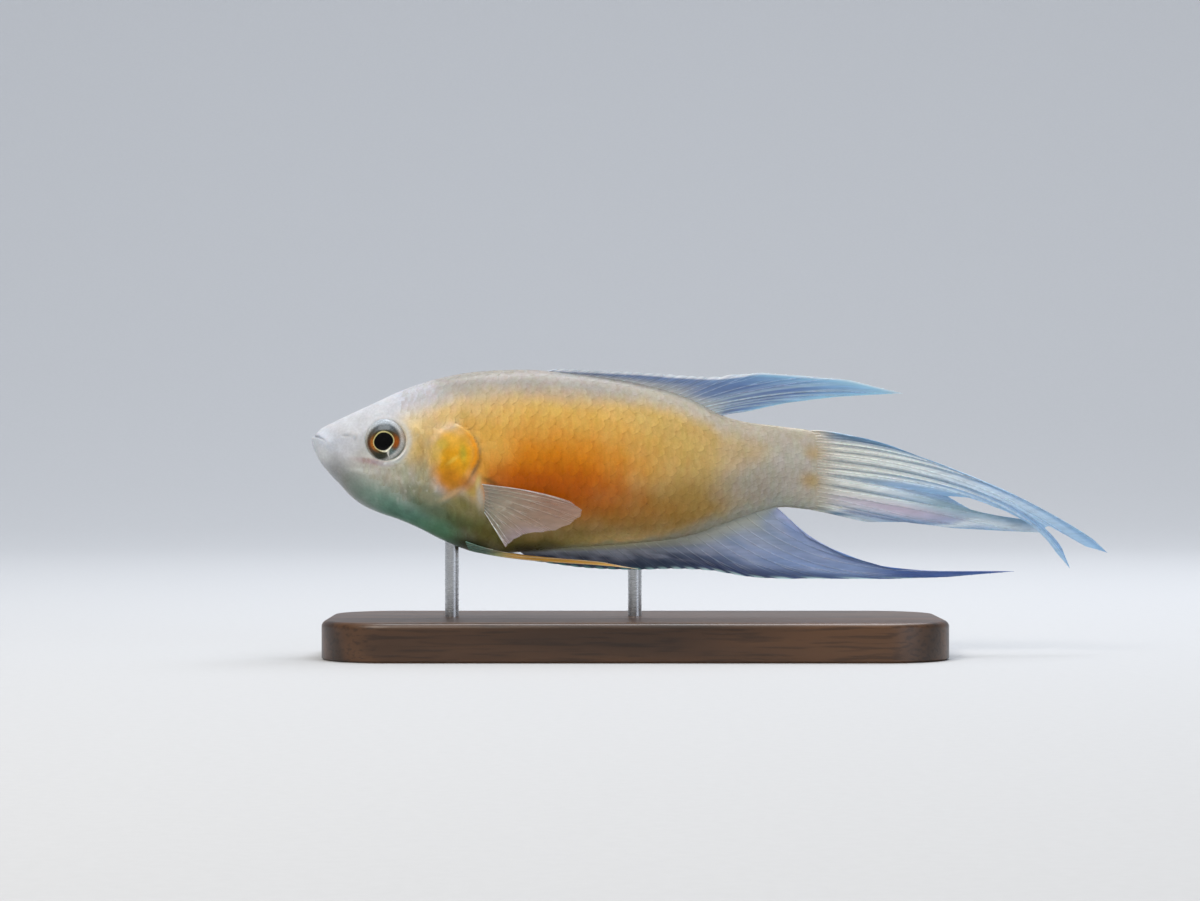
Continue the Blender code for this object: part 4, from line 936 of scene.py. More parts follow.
def make_scales(name, slot, roots, rows, depth_from, depth_to, finish):
    """Scales, as thin curved plates that overlap towards the tail, in one piece for each side."""
    x, share, pitch, chance = roots
    spots = SCALE_GRID**2
    # a runs from a scale's root to its free edge, and c across it
    a, c = np.meshgrid(np.linspace(0.0, 1.0, SCALE_GRID), np.linspace(-1.0, 1.0, SCALE_GRID), indexing="ij")
    length = SCALE_LENGTHS * pitch * (0.96 + 0.08 * chance[:, 0])
    root_z = on_skin(x, share)[0][:, 2]
    fade = ease(x + 0.4 * root_z, 11.5, 20.0) * (1 - 0.6 * ease(root_z - back(x), -4.5, -1.0))
    depth = depth_from + (depth_to - depth_from) * fade
    along = a * (1 - 0.4 * c * c * a)
    wide = 0.72 + 0.28 * ease(a, 0.0, 0.45)
    at_x = x[:, None, None] + length[:, None, None] * along
    at_share = share[:, None, None] + SCALE_HEIGHT / 2 / rows * wide * c
    where, out = on_skin(np.minimum(at_x, SKIN_END - 0.1), at_share)
    height = depth[:, None, None] * (
        (-0.6 + 1.5 * a**0.85) * (1 - 0.22 * c * c) + 0.12 * (chance[:, 1, None, None] - 0.5)
    )
    top = where + out * height[..., None]
    # The rim runs once around the grid, and a second ring below it gives the plate its thickness
    at_rim = np.array(grid_rim(SCALE_GRID, SCALE_GRID))
    grid_i, grid_j = divmod(at_rim, SCALE_GRID)
    low = height[:, grid_i, grid_j] - SCALE_THICKNESS
    low = where[:, grid_i, grid_j] + out[:, grid_i, grid_j] * low[..., None]
    count = len(x)
    points = np.concatenate([top.reshape(count, spots, 3), low], axis=1)
    quads = grid_faces(SCALE_GRID, SCALE_GRID)
    for one in range(len(at_rim)):
        two = (one + 1) % len(at_rim)
        quads.append((at_rim[one], spots + one, spots + two, at_rim[two]))
    quads = np.array(quads)
    tone = 0.96 + 0.08 * chance[:, 2]
    colours = markings(top[..., 0], top[..., 2]) * tone[:, None, None, None]
    # Painted shade darkens each scale towards its covered root, and a painted highlight lightens its free
    # edge
    colours = colours * (1 - 0.05 * (1 - ease(a, 0.35, 0.75)))[None, :, :, None]
    colours = colours * (1 + 0.05 * ease(a, 0.78, 0.98) * (1 - 0.5 * c * c))[None, :, :, None]
    colours = colours.reshape(count, spots, 3)
    # The plate's underside edge repeats the rim's colours, a little darker as painted shade
    colours = np.concatenate([colours, colours[:, at_rim] * 0.97], axis=1)
    patch = np.stack([(a - 0.5) * SCALE_BAKE[0], c * SCALE_BAKE[1]], axis=-1).reshape(spots, 2)
    uv = bake_place(x, share)[:, None, :] + np.concatenate([patch, patch[at_rim]])
    for side, chosen in (("_right", share < 0.5), ("_left", share >= 0.5)):
        shift = np.arange(chosen.sum()) * points.shape[1]
        faces = (quads[None] + shift[:, None, None]).reshape(-1, 4)
        if outward_turn(points[chosen][0], quads[0], out[chosen][0, 0, 0]) < 0:
            faces = faces[:, ::-1]
        flat_uv = uv[chosen].reshape(-1, 2)
        piece = new_piece(
            name + side, place(points[chosen]), faces.tolist(), finish,
            colours[chosen].reshape(-1, 3), flat_uv[faces.ravel()], sharp_degrees=55.0,
        )
        keep(piece, slot)


def make_coat(finish):
    """The body's scales, and the much smaller ones of the cheek."""
    roots = scale_roots(SCALE_COLUMNS, SCALE_ROWS, smooth(SCALE_PITCH), body_area)
    make_scales("scales", "gold_skin", roots, SCALE_ROWS, 0.1 * SCALE_DEPTH, SCALE_DEPTH, finish)
    roots = scale_roots(CHEEK_SCALE_COLUMNS, CHEEK_SCALE_ROWS, smooth(CHEEK_SCALE_PITCH), cheek_area)
    shallow, deep = 0.3 * SCALE_DEPTH, 0.4 * SCALE_DEPTH
    make_scales("cheek_scales", "pale_skin", roots, CHEEK_SCALE_ROWS, shallow, deep, finish)


def outward_turn(points, face, out):
    """Above 0 if a face's corners run the way that faces out."""
    one, two, three = points[face[:3]]
    return float(np.dot(np.cross(two - one, three - one), out))


# Eyes
EYE_AROUND = 128
EYE_RINGS = 84
EYE_WRAP = 0.62
# Marks of the eye: a colour, the way it lies from the middle and its width, both in degrees
# counted upwards from the tail's side, and its strength
OUTER_RING = "BEBDB8"
OUTER_MARKS = [("B2BCC6", 95, 50, 1.0), ("9A9A8E", 192, 36, 1.0), ("B4A494", 18, 16, 0.8)]
DARK_RING = "504838"
# In the dark ring, the slate at the top is its own colour and partly painted shade, and the pale grey-green
# at the lower right is a painted highlight
DARK_MARKS = [
    ("5C6872", 86, 46, 1.0), ("5A3822", 196, 30, 1.0), ("2A2E22", -106, 34, 1.0),
    ("3C4434", -6, 18, 1.0), ("7A8A8C", -45, 22, 1.0),
]
IRIS = "34341E"
PUPIL_RING = "CCC488"
OUTER_LINE = "8E9896"
DARK_GLINT = "C8D0CE"
# Colour of a painted highlight below the pupil
CATCHLIGHT_COLOUR = "F2F0E6"
PUPIL = "060607"


def eye_colour(x, z):
    """Colours of the eye by place about the middle of its ball, with x towards the tail. Some of them are
    painted highlights and painted shade.
    """
    out_x, out_z = x - 0.065, z + 0.34
    turn = np.degrees(np.arctan2(out_z, out_x))
    outer = np.hypot(x - 0.15, z + 0.13)

    def facing(direction, width):
        return bump((turn - direction + 180) % 360 - 180, width)

    def marked(ground, marks):
        colour = np.broadcast_to(linear(ground), (*x.shape, 3))
        for hex_colour, direction, width, strength in marks:
            colour = mix(colour, linear(hex_colour), strength * facing(direction, width))
        return colour

    fibre = 0.88 + 0.12 * np.sin(np.radians(turn) * 23) * np.sin(np.radians(turn) * 41 + 1.0)
    pale_line = facing(-45, 26) * bump(outer - 2.52, 0.08)
    rim = mix(marked(OUTER_RING, OUTER_MARKS), linear(OUTER_LINE), pale_line)
    # Painted highlight: a pale glint in the dark ring at the lower right
    glint = facing(-45, 20) * bump(outer - 2.2, 0.1)
    dark = mix(marked(DARK_RING, DARK_MARKS), linear(DARK_GLINT), glint)
    start = 2.14 + 0.26 * facing(192, 50) + 0.4 * facing(-108, 30) - 0.08 * facing(0, 40)
    colour = mix(dark, rim, ease(outer - start, -0.22, 0.2))
    inner = marked(IRIS, [("BA702A", 192, 36, fibre), ("A4541A", -4, 30, fibre), ("64746F", -52, 15, 1.0)])
    iris = np.hypot((out_x - 0.14) / 1.95, (out_z + 0.04) / 1.62)
    colour = mix(colour, inner, 1 - ease(iris, 0.86, 1.08))
    # Painted highlight: a narrow white wedge below the pupil, narrowing downwards
    catchlight = bump((out_x - 0.53 + 0.1 * (out_z + 1.2)) / (0.05 + 0.1 * ease(-out_z, 2.0, 1.2)), 1.0)
    catchlight = 0.9 * catchlight * ease(-out_z, 0.8, 1.0) * (1 - ease(-out_z, 2.2, 2.5))
    colour = mix(colour, linear(CATCHLIGHT_COLOUR), catchlight)
    pupil = np.hypot(out_x / 1.32, out_z / 1.2) * (1 + 0.12 * facing(-40, 26) + 0.07 * facing(150, 30))
    # The gold ring round the pupil is its own colour; its wider, whiter lower right is a painted glint
    gold = 1.08 + 0.05 * facing(100, 45) + 0.12 * facing(-70, 32)
    pale = marked(PUPIL_RING, [("F6F2DE", -66, 40, 1.0)])
    colour = mix(colour, pale, 1 - ease(pupil, gold - 0.04, gold + 0.03))
    return mix(colour, linear(PUPIL), 1 - ease(pupil, 0.96, 1.02))


def make_eye(name, side, finish):
    """A flattened ball with a fuller cornea in its middle, which looks a little forward and up."""
    tilt = (math.pi * EYE_WRAP * np.arange(EYE_RINGS + 1) / EYE_RINGS)[:, None]
    turn = 2 * math.pi * np.arange(EYE_AROUND) / EYE_AROUND
    reach = np.sin(tilt)
    depth = np.maximum(1 - reach**EYE_FULLNESS, 0.0) ** (1 / EYE_FULLNESS)
    depth = np.where(tilt < math.pi / 2, depth, -depth)
    x = (EYE_RADIUS * reach * np.cos(turn)).ravel()
    z = (EYE_RADIUS * reach * np.sin(turn)).ravel()
    y = (side * EYE_HALF_DEPTH * depth + 0 * turn).ravel()
    colours = eye_colour(x, z)
    cosine, sine = math.cos(EYE_YAW * side), math.sin(EYE_YAW * side)
    x, y = x * cosine - y * sine, x * sine + y * cosine
    cosine, sine = math.cos(EYE_PITCH), math.sin(EYE_PITCH) * side
    y, z = y * cosine - z * sine, z * cosine + y * sine
    turned = np.stack([x, y, z], axis=1) + [EYE_CENTRE[0], side * EYE_CENTRE[1], EYE_CENTRE[2]]
    faces = tube_faces(EYE_RINGS + 1, EYE_AROUND)[:-2]
    faces[:EYE_AROUND] = [(j, b, a) for j, _, b, a in faces[:EYE_AROUND]]
    if side > 0:
        faces = [face[::-1] for face in faces]
    last = EYE_RINGS * EYE_AROUND
    faces.append(tuple(range(last, last + EYE_AROUND))[:: -side])
    piece = new_piece(name + "_ball", place(turned), faces, finish, colours, sharp_degrees=60.0)
    keep(piece, "eye", name)


# Fins
RAY_BEND = 0.36
RAY_STEPS = 40
WEB_ROWS = 40
WEB_COLUMNS = 7
RAY_SIDES = 6
RAY_FLATTEN = 0.8
PLEAT = 0.04
# How far the branches of a forked ray, and the twigs that they end in, lie apart, in ray numbers
BRANCH_OFFSET = 0.17
EDGE_OFFSET = 0.02
TWIG_OFFSET = 0.09
TWIG_DRIFT = 0.1


def between(one, two, share):
    """The point a share of the way from one to two."""
    return tuple(a + (b - a) * share for a, b in zip(one, two))


def lean_of(start, end):
    """The lean of the straight line from start to end, in degrees."""
    return math.degrees(math.atan2(end[1] - start[1], end[0] - start[0]))


def ray_path(root, tip, root_lean, tip_lean, tip_bend=RAY_BEND):
    """A ray from root to tip in the side view, which leaves and ends at the leans, in degrees."""
    span = math.hypot(tip[0] - root[0], tip[1] - root[1])
    leave, arrive = math.radians(root_lean), math.radians(tip_lean)
    first = (root[0] + RAY_BEND * span * math.cos(leave), root[1] + RAY_BEND * span * math.sin(leave))
    second = (tip[0] - tip_bend * span * math.cos(arrive), tip[1] - tip_bend * span * math.sin(arrive))
    t = np.linspace(0.0, 1.0, RAY_STEPS)[:, None]
    root, first, second, tip = (np.array(point, float) for point in (root, first, second, tip))
    start = (1 - t) ** 3 * root + 3 * t * (1 - t) ** 2 * first
    return start + 3 * t * t * (1 - t) * second + t**3 * tip


def path_at(paths, number, share):
    """The side-view point of a fin at a ray number, which may lie between rays, and a share."""
    number = np.clip(number, 0, len(paths) - 1)
    left = np.minimum(np.floor(number).astype(int), len(paths) - 2)
    part = (number - left)[..., None]
    step = np.clip(share, 0.0, 1.0) * (RAY_STEPS - 1)
    low = np.minimum(np.floor(step).astype(int), RAY_STEPS - 2)
    rest = (step - low)[..., None]
    grid = np.array(paths)
    near = grid[left, low] * (1 - rest) + grid[left, low + 1] * rest
    far = grid[left + 1, low] * (1 - rest) + grid[left + 1, low + 1] * rest
    return near * (1 - part) + far * part


class Builder:
    """Collects the points, faces and colours of one piece from its tubes and sheets."""

    def __init__(self):
        self.points, self.faces, self.colours, self.count = [], [], [], 0

    def add(self, points, faces, colours):
        self.points.append(np.asarray(points).reshape(-1, 3))
        self.colours.append(np.asarray(colours).reshape(-1, 3))
        self.faces += [tuple(int(v) + self.count for v in face) for face in faces]
        self.count += len(self.points[-1])

    def piece(self, name, finish):
        points, colours = place(np.concatenate(self.points)), np.concatenate(self.colours)
        return new_piece(name, points, self.faces, finish, colours, sharp_degrees=50.0)


def add_tube(builder, line, radii, colours):
    """A tapering tube along a line, a little thinner across the fin, with closed ends."""
    along = np.gradient(line, axis=0)
    along /= np.linalg.norm(along, axis=1, keepdims=True)
    across = np.cross(along, [0.0, 1.0, 0.0])
    across /= np.maximum(np.linalg.norm(across, axis=1, keepdims=True), 1e-9)
    out = np.cross(across, along)
    turns = np.arange(RAY_SIDES) * 2 * math.pi / RAY_SIDES
    radii = np.asarray(radii)[:, None, None]
    offsets = np.cos(turns)[None, :, None] * across[:, None, :] * radii
    offsets = offsets + np.sin(turns)[None, :, None] * out[:, None, :] * radii * RAY_FLATTEN
    points = line[:, None, :] + offsets
    builder.add(points, tube_faces(len(line), RAY_SIDES), np.repeat(colours, RAY_SIDES, axis=0))


def add_sheet(builder, middle, half, colours):
    """A thin closed sheet from a grid of middle points and half thicknesses, out along y."""
    rows, columns = middle.shape[:2]
    push = np.zeros_like(middle)
    push[:, :, 1] = half
    near, far = (middle - push).reshape(-1, 3), (middle + push).reshape(-1, 3)
    offset = rows * columns
    faces = []
    for face in grid_faces(rows, columns):
        faces += [face, tuple(v + offset for v in reversed(face))]
    rim = grid_rim(rows, columns)
    for k, a in enumerate(rim):
        b = rim[(k + 1) % len(rim)]
        faces.append((b, a, a + offset, b + offset))
    builder.add(np.concatenate([near, far]), faces, np.concatenate([colours.reshape(-1, 3)] * 2))


def path_length(path):
    """Length of a ray in millimetres."""
    return float(np.linalg.norm(np.diff(path, axis=0), axis=1).sum())


def web_reach(one, two, beyond):
    """How far along its two rays a membrane reaches.

    beyond is None for whole rays, or says how far past the end of the shorter ray, from 0 to 1,
    the membrane follows the longer one.
    """
    if beyond is None:
        return 1.0, 1.0
    short, long = (one, two) if path_length(one) < path_length(two) else (two, one)
    nearest = int(np.argmin(np.linalg.norm(long - short[-1], axis=1))) / (RAY_STEPS - 1)
    reach = nearest + beyond * (1 - nearest)
    return (1.0, reach) if short is one else (reach, 1.0)


class Fin:
    """A fin's shape: rays in the side view, the side that each point lies on, and its thickness.

    tint colours points from x, z, ray number, share of the ray, millimetres to the ray's tip, and
    whether they lie on a ray. cuts says how far a membrane goes beyond the end of its shorter ray.
    Between the first rays, as many as scalloped says, its edge bulges by scallop, in millimetres.
    """

    def __init__(self, paths, side_place, half_at, tint, cuts=None, scallop=0.0, scalloped=0):
        self.paths, self.side_place, self.half_at, self.tint = paths, side_place, half_at, tint
        self.lengths = np.array([path_length(path) for path in paths])
        self.cuts = cuts or {}
        self.scallop, self.scalloped = scallop, scalloped

    def to_tip(self, number, share):
        """Millimetres from a point to the end of its ray."""
        return (1 - share) * np.interp(number, np.arange(len(self.lengths)), self.lengths)

    def web(self, builder, left, notch):
        """The membrane between one ray and the next. Its edge dips by notch, or bulges instead."""
        one, two = self.paths[left], self.paths[left + 1]
        reach_one, reach_two = web_reach(one, two, self.cuts.get(left))
        part = np.linspace(0.0, 1.0, WEB_COLUMNS)[None, :]
        mean = (self.lengths[left] + self.lengths[left + 1]) / 2
        bulges = left < self.scalloped
        dip = 0.0 if bulges else notch / mean * 4 * part * (1 - part)
        share = np.linspace(0.0, 1.0, WEB_ROWS)[:, None] * (1 - dip)
        near = path_at(self.paths, np.full_like(share, left), share * reach_one)
        far = path_at(self.paths, np.full_like(share, left + 1), share * reach_two)
        spot = near + (far - near) * part[..., None]
        if bulges:
            spot[..., 1] += self.scallop * np.sin(math.pi * part) ** 0.7 * share**3
        number = left + part + 0 * share
        share = share * (reach_one + (reach_two - reach_one) * part)
        x, z = spot[..., 0], spot[..., 1]
        pleat = PLEAT * np.sin(part * math.pi) * ease(share, 0.1, 0.4) * (-1) ** left
        middle = np.stack([x, self.side_place(x, z, share) + pleat, z], axis=-1)
        colours = self.tint(x, z, number, share, self.to_tip(number, share), False)
        add_sheet(builder, middle, self.half_at(x, z, share), colours)

    def branch(self, builder, number, shares, offsets, radii):
        """One run of a ray on both faces, which moves from one offset in ray numbers to another."""
        count = max(6, int(RAY_STEPS * (shares[1] - shares[0])) + 1)
        share = np.linspace(*shares, count)
        grown = ease(share, *shares) if offsets[0] != offsets[1] else 0 * share
        at = np.clip(number + offsets[0] + (offsets[1] - offsets[0]) * grown, 0, len(self.paths) - 1)
        spot = path_at(self.paths, at, share)
        x, z = spot[:, 0], spot[:, 1]
        radius = np.interp(share, shares, radii)
        colours = self.tint(x, z, at, share, self.to_tip(at, share), True)
        away = np.maximum(self.half_at(x, z, share) - 0.25 * radius, 0.0)
        for face in (-1, 1):
            y = self.side_place(x, z, share) + face * away
            add_tube(builder, np.stack([x, y, z], axis=1), radius, colours)

    def ray(self, builder, number, soft, radius, forks):
        """A ray. A soft one forks twice, and a spine stays single."""
        last = len(self.paths) - 1
        if not soft:
            self.branch(builder, number, (0.0, 1.0), (0.0, 0.0), (radius, 0.4 * radius))
            return
        low = 0.0 if number == 0 or number - 1 in self.cuts else -1.0
        high = 0.0 if number == last or number in self.cuts else 1.0
        first, second = forks
        self.branch(builder, number, (0.0, first), (0.0, 0.0), (radius, 0.8 * radius))
        for side in (low, high):
            one = BRANCH_OFFSET * side if side else EDGE_OFFSET * (low + high)
            self.branch(builder, number, (first, second), (0.0, one), (0.7 * radius, 0.55 * radius))
            for split in (-TWIG_OFFSET, TWIG_OFFSET):
                end = one + split + TWIG_DRIFT * side if side else one + TWIG_OFFSET * (high + low) + split
                self.branch(builder, number, (second, 1.0), (one, end), (0.5 * radius, 0.22 * radius))


def make_fin(name, fin, finishes, slot, radius, notch, forks=(0.45, 0.72), spines=0):
    """A fin of thin membrane between its rays, which are rods on both faces.

    The first rays, as many as spines says, stay single, and the others fork twice, at two shares.
    """
    webs, rays = Builder(), Builder()
    for left in range(len(fin.paths) - 1):
        fin.web(webs, left, notch)
    for number in range(len(fin.paths)):
        fin.ray(rays, number, number >= spines, radius, forks)
    keep(webs.piece(name + "_membrane", finishes[0]), slot, name)
    keep(rays.piece(name + "_rays", finishes[1]), slot, name)


def sheet_half(thickness, swell, reach):
    """Half thickness of a fin: a thin web that swells into a fleshy root over a share of its rays."""

    def half_at(x, z, share):
        return thickness / 2 * (1.3 - 0.7 * share) + swell * (1 - ease(share, 0.0, reach))

    return half_at


def blend_colours(stops):
    """A run of colours over a share from 0 to 1, from a dict of shares and hex colours."""
    at = list(stops)
    values = np.array([linear(colour) for colour in stops.values()])

    def read(share):
        return np.stack([np.interp(share, at, values[:, k]) for k in range(3)], axis=-1)

    return read


def tips_of(*margins):
    """The tip of a ray as a function of its number, from margins of (number, x, z) that meet."""
    curves = []
    for margin in margins:
        xs = smooth([(n, x) for n, x, z in margin])
        zs = smooth([(n, z) for n, x, z in margin])
        curves.append((margin[-1][0], xs, zs))

    def tip(number):
        for last, xs, zs in curves:
            if number <= last + 1e-9:
                return float(xs(number)), float(zs(number))
        return float(xs(number)), float(zs(number))

    return tip


def on_profile(profile, x, gap):
    """A point at x on a body profile, moved off it by gap."""
    slope = float(profile(x + 0.05) - profile(x - 0.05)) / 0.1
    scale = math.hypot(1.0, slope)
    return x - gap * slope / scale, float(profile(x)) + gap / scale


def wave_place(height, start, length):
    """side_place for a middle fin: it follows the body's sweep, and waves more towards its edge."""

    def place_at(x, z, share):
        return sweep(x) + height * share**2 * np.sin((x - start) / length)

    return place_at


# Dorsal fin: numbers count its rays from the front, and the streamer ends ray 20
DORSAL_RAYS = 24
DORSAL_SPINES = 16
DORSAL_ROOTS = smooth([(0, 30.4), (4, 35.6), (8, 40.4), (12, 44.8), (15, 47.6), (18, 49.8), (23, 53.0)])
DORSAL_LEADING = [
    (0, 31.9, 9.15), (4, 37.4, 8.85), (8, 43.0, 8.6), (12, 48.8, 8.2), (15, 53.2, 8.1),
    (17, 58.6, 8.75), (18, 63.6, 8.4), (19, 70.0, 7.8), (20, 77.0, 6.05),
]
DORSAL_TRAILING = [(20, 77.0, 6.05), (21, 68.6, 5.6), (22, 62.2, 4.85), (23, 56.2, 3.6)]
DORSAL_BEND = smooth([(0, 0.5), (12, 0.5), (15.5, 1.5), (17, 3), (20, 9), (23, 5)])
DORSAL_WAVE = (0.5, 50.0, 6.0)
DORSAL_SCALLOP = 0.15


def make_dorsal_fin(finishes):
    """The dorsal fin: grey-blue spines in front, and pale soft rays drawn out to a streamer."""
    tip = tips_of(DORSAL_LEADING, DORSAL_TRAILING)
    paths = []
    for number in range(DORSAL_RAYS):
        x = float(DORSAL_ROOTS(number))
        root, end = on_profile(back, x, -0.25), tip(number)
        straight, bend = lean_of(root, end), float(DORSAL_BEND(number))
        paths.append(ray_path(root, end, straight + bend, straight - bend))
    front = blend_colours({0.0: "B4B6B4", 0.3: "969EAC", 0.6: "7086AC", 1.0: "7088B0"})
    rear = blend_colours({0.0: "BABCBA", 0.15: "768AAC", 0.5: "6480B0", 0.8: "88B4DC", 1.0: "9CD2EE"})
    margin = smooth([(x, z) for _, x, z in DORSAL_LEADING])

    def tint(x, z, number, share, to_tip, on_ray):
        colour = mix(front(share), rear(share), ease(number, 14.0, 18.0))
        # Painted shade: each spine's shadow on the membrane, darker along the spine and a little lighter
        # between spines
        spine = np.cos(2 * math.pi * number) * (1 - ease(number, 14.0, 17.0)) * ease(share, 0.2, 0.6)
        colour = colour * (1 - 0.11 * spine)[..., None]
        pale = ease(np.cos(2 * math.pi * 1.4 * number), -0.3, 0.9) * ease(number, 17.6, 19.6)
        colour = mix(colour, linear("C4DCE0"), 0.45 * pale * (1 - 0.6 * ease(share, 0.6, 0.9)))
        slate = 0.6 * bump(number - 16.8, 1.4) * ease(share, 0.1, 0.3) * (1 - ease(share, 0.8, 1.0))
        colour = mix(colour, linear("5F7BA6"), slate)
        if on_ray:
            colour = mix(colour, linear("C4D2E4"), 0.18 + 0.1 * ease(number, 14.0, 18.0))
        below = np.maximum(margin(x) + 0.1 - z, 0.0)
        edge = ease(0.5 - below, 0.0, 0.3) * (1 - 0.3 * ease(number, 17.0, 20.0))
        edge = edge * (0.8 - 0.2 * np.cos(2 * math.pi * number))
        return mix(mix(colour, linear("F2F4FA"), edge), linear("DCEEF4"), 0.5 * bump(to_tip, 0.35))

    half = sheet_half(thickness=0.09, swell=0.22, reach=0.3)
    fin = Fin(paths, wave_place(*DORSAL_WAVE), half, tint, None, DORSAL_SCALLOP, DORSAL_SPINES)
    make_fin("dorsal_fin", fin, finishes, "blue_fin", radius=0.11, notch=0.22, spines=DORSAL_SPINES)


# Anal fin: numbers count its rays from the front, and the streamer ends ray 22
ANAL_RAYS = 26
ANAL_SPINES = 15
ANAL_ROOT = (27.0, 60.2)
ANAL_LEADING = [
    (0, 28.7, -15.65), (4, 35.2, -16.55), (8, 41.6, -16.85), (12, 48.5, -16.75),
    (14, 52.4, -17.0), (16, 57.0, -17.8), (18, 63.4, -18.05), (19, 68.6, -18.1),
    (20, 75.2, -18.15), (21, 83.0, -17.95), (22, 91.9, -17.25),
]
ANAL_TRAILING = [(22, 91.9, -17.25), (23, 76.0, -16.95), (24, 69.3, -15.1), (25, 64.5, -12.7)]
ANAL_ROOT_LEAN = smooth([(0, -38), (8, -42), (16, -38), (21, -40), (25, -40)])
ANAL_TIP_LEAN = smooth([(0, -30), (10, -34), (16, -18), (19, -8), (22, -1), (23, -12), (25, -46)])
ANAL_WAVE = (-0.6, 56.0, 7.0)
ANAL_CUTS = {22: 0.45}
ANAL_SCALLOP = -0.08
ANAL_SCALLOPED = 18


def make_anal_fin(finishes):
    """The anal fin: dark blue, with a pale rear and a long dark streamer."""
    tip = tips_of(ANAL_LEADING, ANAL_TRAILING)
    paths = []
    for number in range(ANAL_RAYS):
        x = ANAL_ROOT[0] + (ANAL_ROOT[1] - ANAL_ROOT[0]) * number / (ANAL_RAYS - 1)
        root = on_profile(belly, x, 0.25)
        lean = float(ANAL_ROOT_LEAN(number)), float(ANAL_TIP_LEAN(number))
        paths.append(ray_path(root, tip(number), *lean))
    front = blend_colours({0.0: "A8AAA2", 0.25: "8C929A", 0.5: "404C62", 1.0: "2E425A"})
    middle = blend_colours({0.0: "98A09A", 0.25: "72829A", 0.45: "445474", 0.7: "344464", 1.0: "324C7A"})
    rear = blend_colours({0.0: "94A4B6", 0.3: "8CA2CC", 0.55: "8CA5D3", 0.8: "7E9BCC", 1.0: "5E82BA"})
    margin = smooth([(x, z) for _, x, z in ANAL_LEADING])

    def tint(x, z, number, share, to_tip, on_ray):
        colour = mix(front(share), middle(share), ease(number, 10.0, 16.0))
        colour = mix(colour, rear(share), ease(number, 15.0, 20.0))
        dark = bump(number - 17.0, 4.0) * ease(share, 0.45, 0.9)
        colour = mix(colour, linear("33406A"), 0.75 * dark)
        pale = 0.3 * bump(patchy(number, share * 6.0, 1.0) - 0.6, 0.5) * (1 - ease(share, 0.5, 0.8))
        colour = mix(colour, linear("C0C6DA"), pale)
        colour = mix(colour, linear("34569C"), 0.9 * ease(x, 71.0, 78.0))
        if on_ray:
            strong = 0.04 + 0.22 * ease(number, 11.0, 17.0) * (1 - ease(number, 22.0, 24.0))
            colour = mix(colour, linear("D0DAEC"), strong * (1 - ease(share, 0.55, 0.95)))
        colour = mix(colour, linear("B2BEE6"), 0.8 * ease(number, 23.8, 25.0) * (1 - ease(x, 70.0, 76.0)))
        dashes = ease(np.cos(2 * math.pi * (number - 0.5)), -0.7, 0.2) * (1 - ease(number, 20.0, 22.0))
        edge = bump(np.maximum(z - margin(x), 0.0), 0.2) * dashes
        bright = mix(linear("5E9C9E"), linear("C2E6EA"), ease(number, 6.0, 14.0))
        flesh = markings(x, z) * (0.85 + 0.1 * (1 - ease(x, 44.0, 52.0)))[..., None]
        colour = mix(flesh, colour, ease(share, 0.0, 0.26 - 0.14 * ease(x, 50.0, 57.0)))
        return mix(colour, bright, 0.95 * edge)

    half = sheet_half(thickness=0.09, swell=0.25, reach=0.25)
    fin = Fin(paths, wave_place(*ANAL_WAVE), half, tint, ANAL_CUTS, ANAL_SCALLOP, ANAL_SCALLOPED)
    make_fin("anal_fin", fin, finishes, "blue_fin", radius=0.1, notch=0.12, spines=ANAL_SPINES)


# Tail fin: rays of each lobe are counted from its upper edge, each with its tip and its lean there
TAIL_ROOT = STALK_END + 0.3
TAIL_SPLIT = -4.3
UPPER_RAYS = [
    (72.3, 0.05, -12), (75.6, -0.8, -18), (79.8, -2.45, -22), (86.2, -4.95, -24),
    (93.4, -8.1, -26), (99.0, -11.1, -30), (102.0, -13.0, -33), (103.9, -14.8, -38),
    (101.0, -13.95, -36), (96.3, -11.3, -30), (97.9, -14.2, -58), (99.0, -16.9, -64),
    (97.0, -14.6, -60), (95.4, -12.0, -36), (91.0, -9.55, -26), (86.0, -7.6, -17), (82.4, -7.3, -9),
]
STREAMER_FORK = {9: 0.0}
STREAMER_BENDS = {10: 0.25, 11: 0.3, 12: 0.27}
LOWER_RAYS = [
    (82.2, -6.95, -9), (86.3, -9.3, -18), (90.0, -10.0, -8), (94.6, -10.7, -8), (95.4, -12.2, -10),
    (89.6, -11.9, -4), (83.6, -11.55, -8), (77.4, -10.75, -8), (72.2, -10.75, -14),
]
LOBE_SPREAD = 1.3
SPREAD_START = 74.0
SPREAD_SPAN = 20.0
TAIL_WAVE = (0.25, 5.0)


def tail_half(x, z, share):
    """Half thickness of the tail fin. Its root rises out of the end of the stalk."""
    web = 0.05 * (1.3 - 0.7 * share)
    risen = -0.25 + 0.31 * ease(x, 64.6, 66.6) - 0.04 * ease(x, 67.0, 69.0)
    return np.maximum(web, flank(x, z) + risen)


def make_tail_lobe(name, roots, rays, root_leans, spread, tint, finishes, bends=None, cuts=None):
    """One lobe of the tail fin, which swings out to one side by spread, in millimetres."""
    first, last = zip(roots, root_leans)
    paths = []
    for number, (x, z, lean) in enumerate(rays):
        height, leave = between(first, last, number / (len(rays) - 1))
        bend = (bends or {}).get(number, RAY_BEND)
        paths.append(ray_path((TAIL_ROOT - 1.0, height), (x, z), leave, lean, bend))

    def place_at(x, z, share):
        height, length = TAIL_WAVE
        spread_by = spread * np.clip((x - SPREAD_START) / SPREAD_SPAN, 0.0, 2.0) ** 1.5
        return sweep(x) + spread_by + height * share**2 * np.sin(x / length)

    fin = Fin(paths, place_at, tail_half, tint, cuts)
    make_fin(name, fin, finishes, "milky_fin", radius=0.11, notch=0.12, forks=(0.52, 0.76))


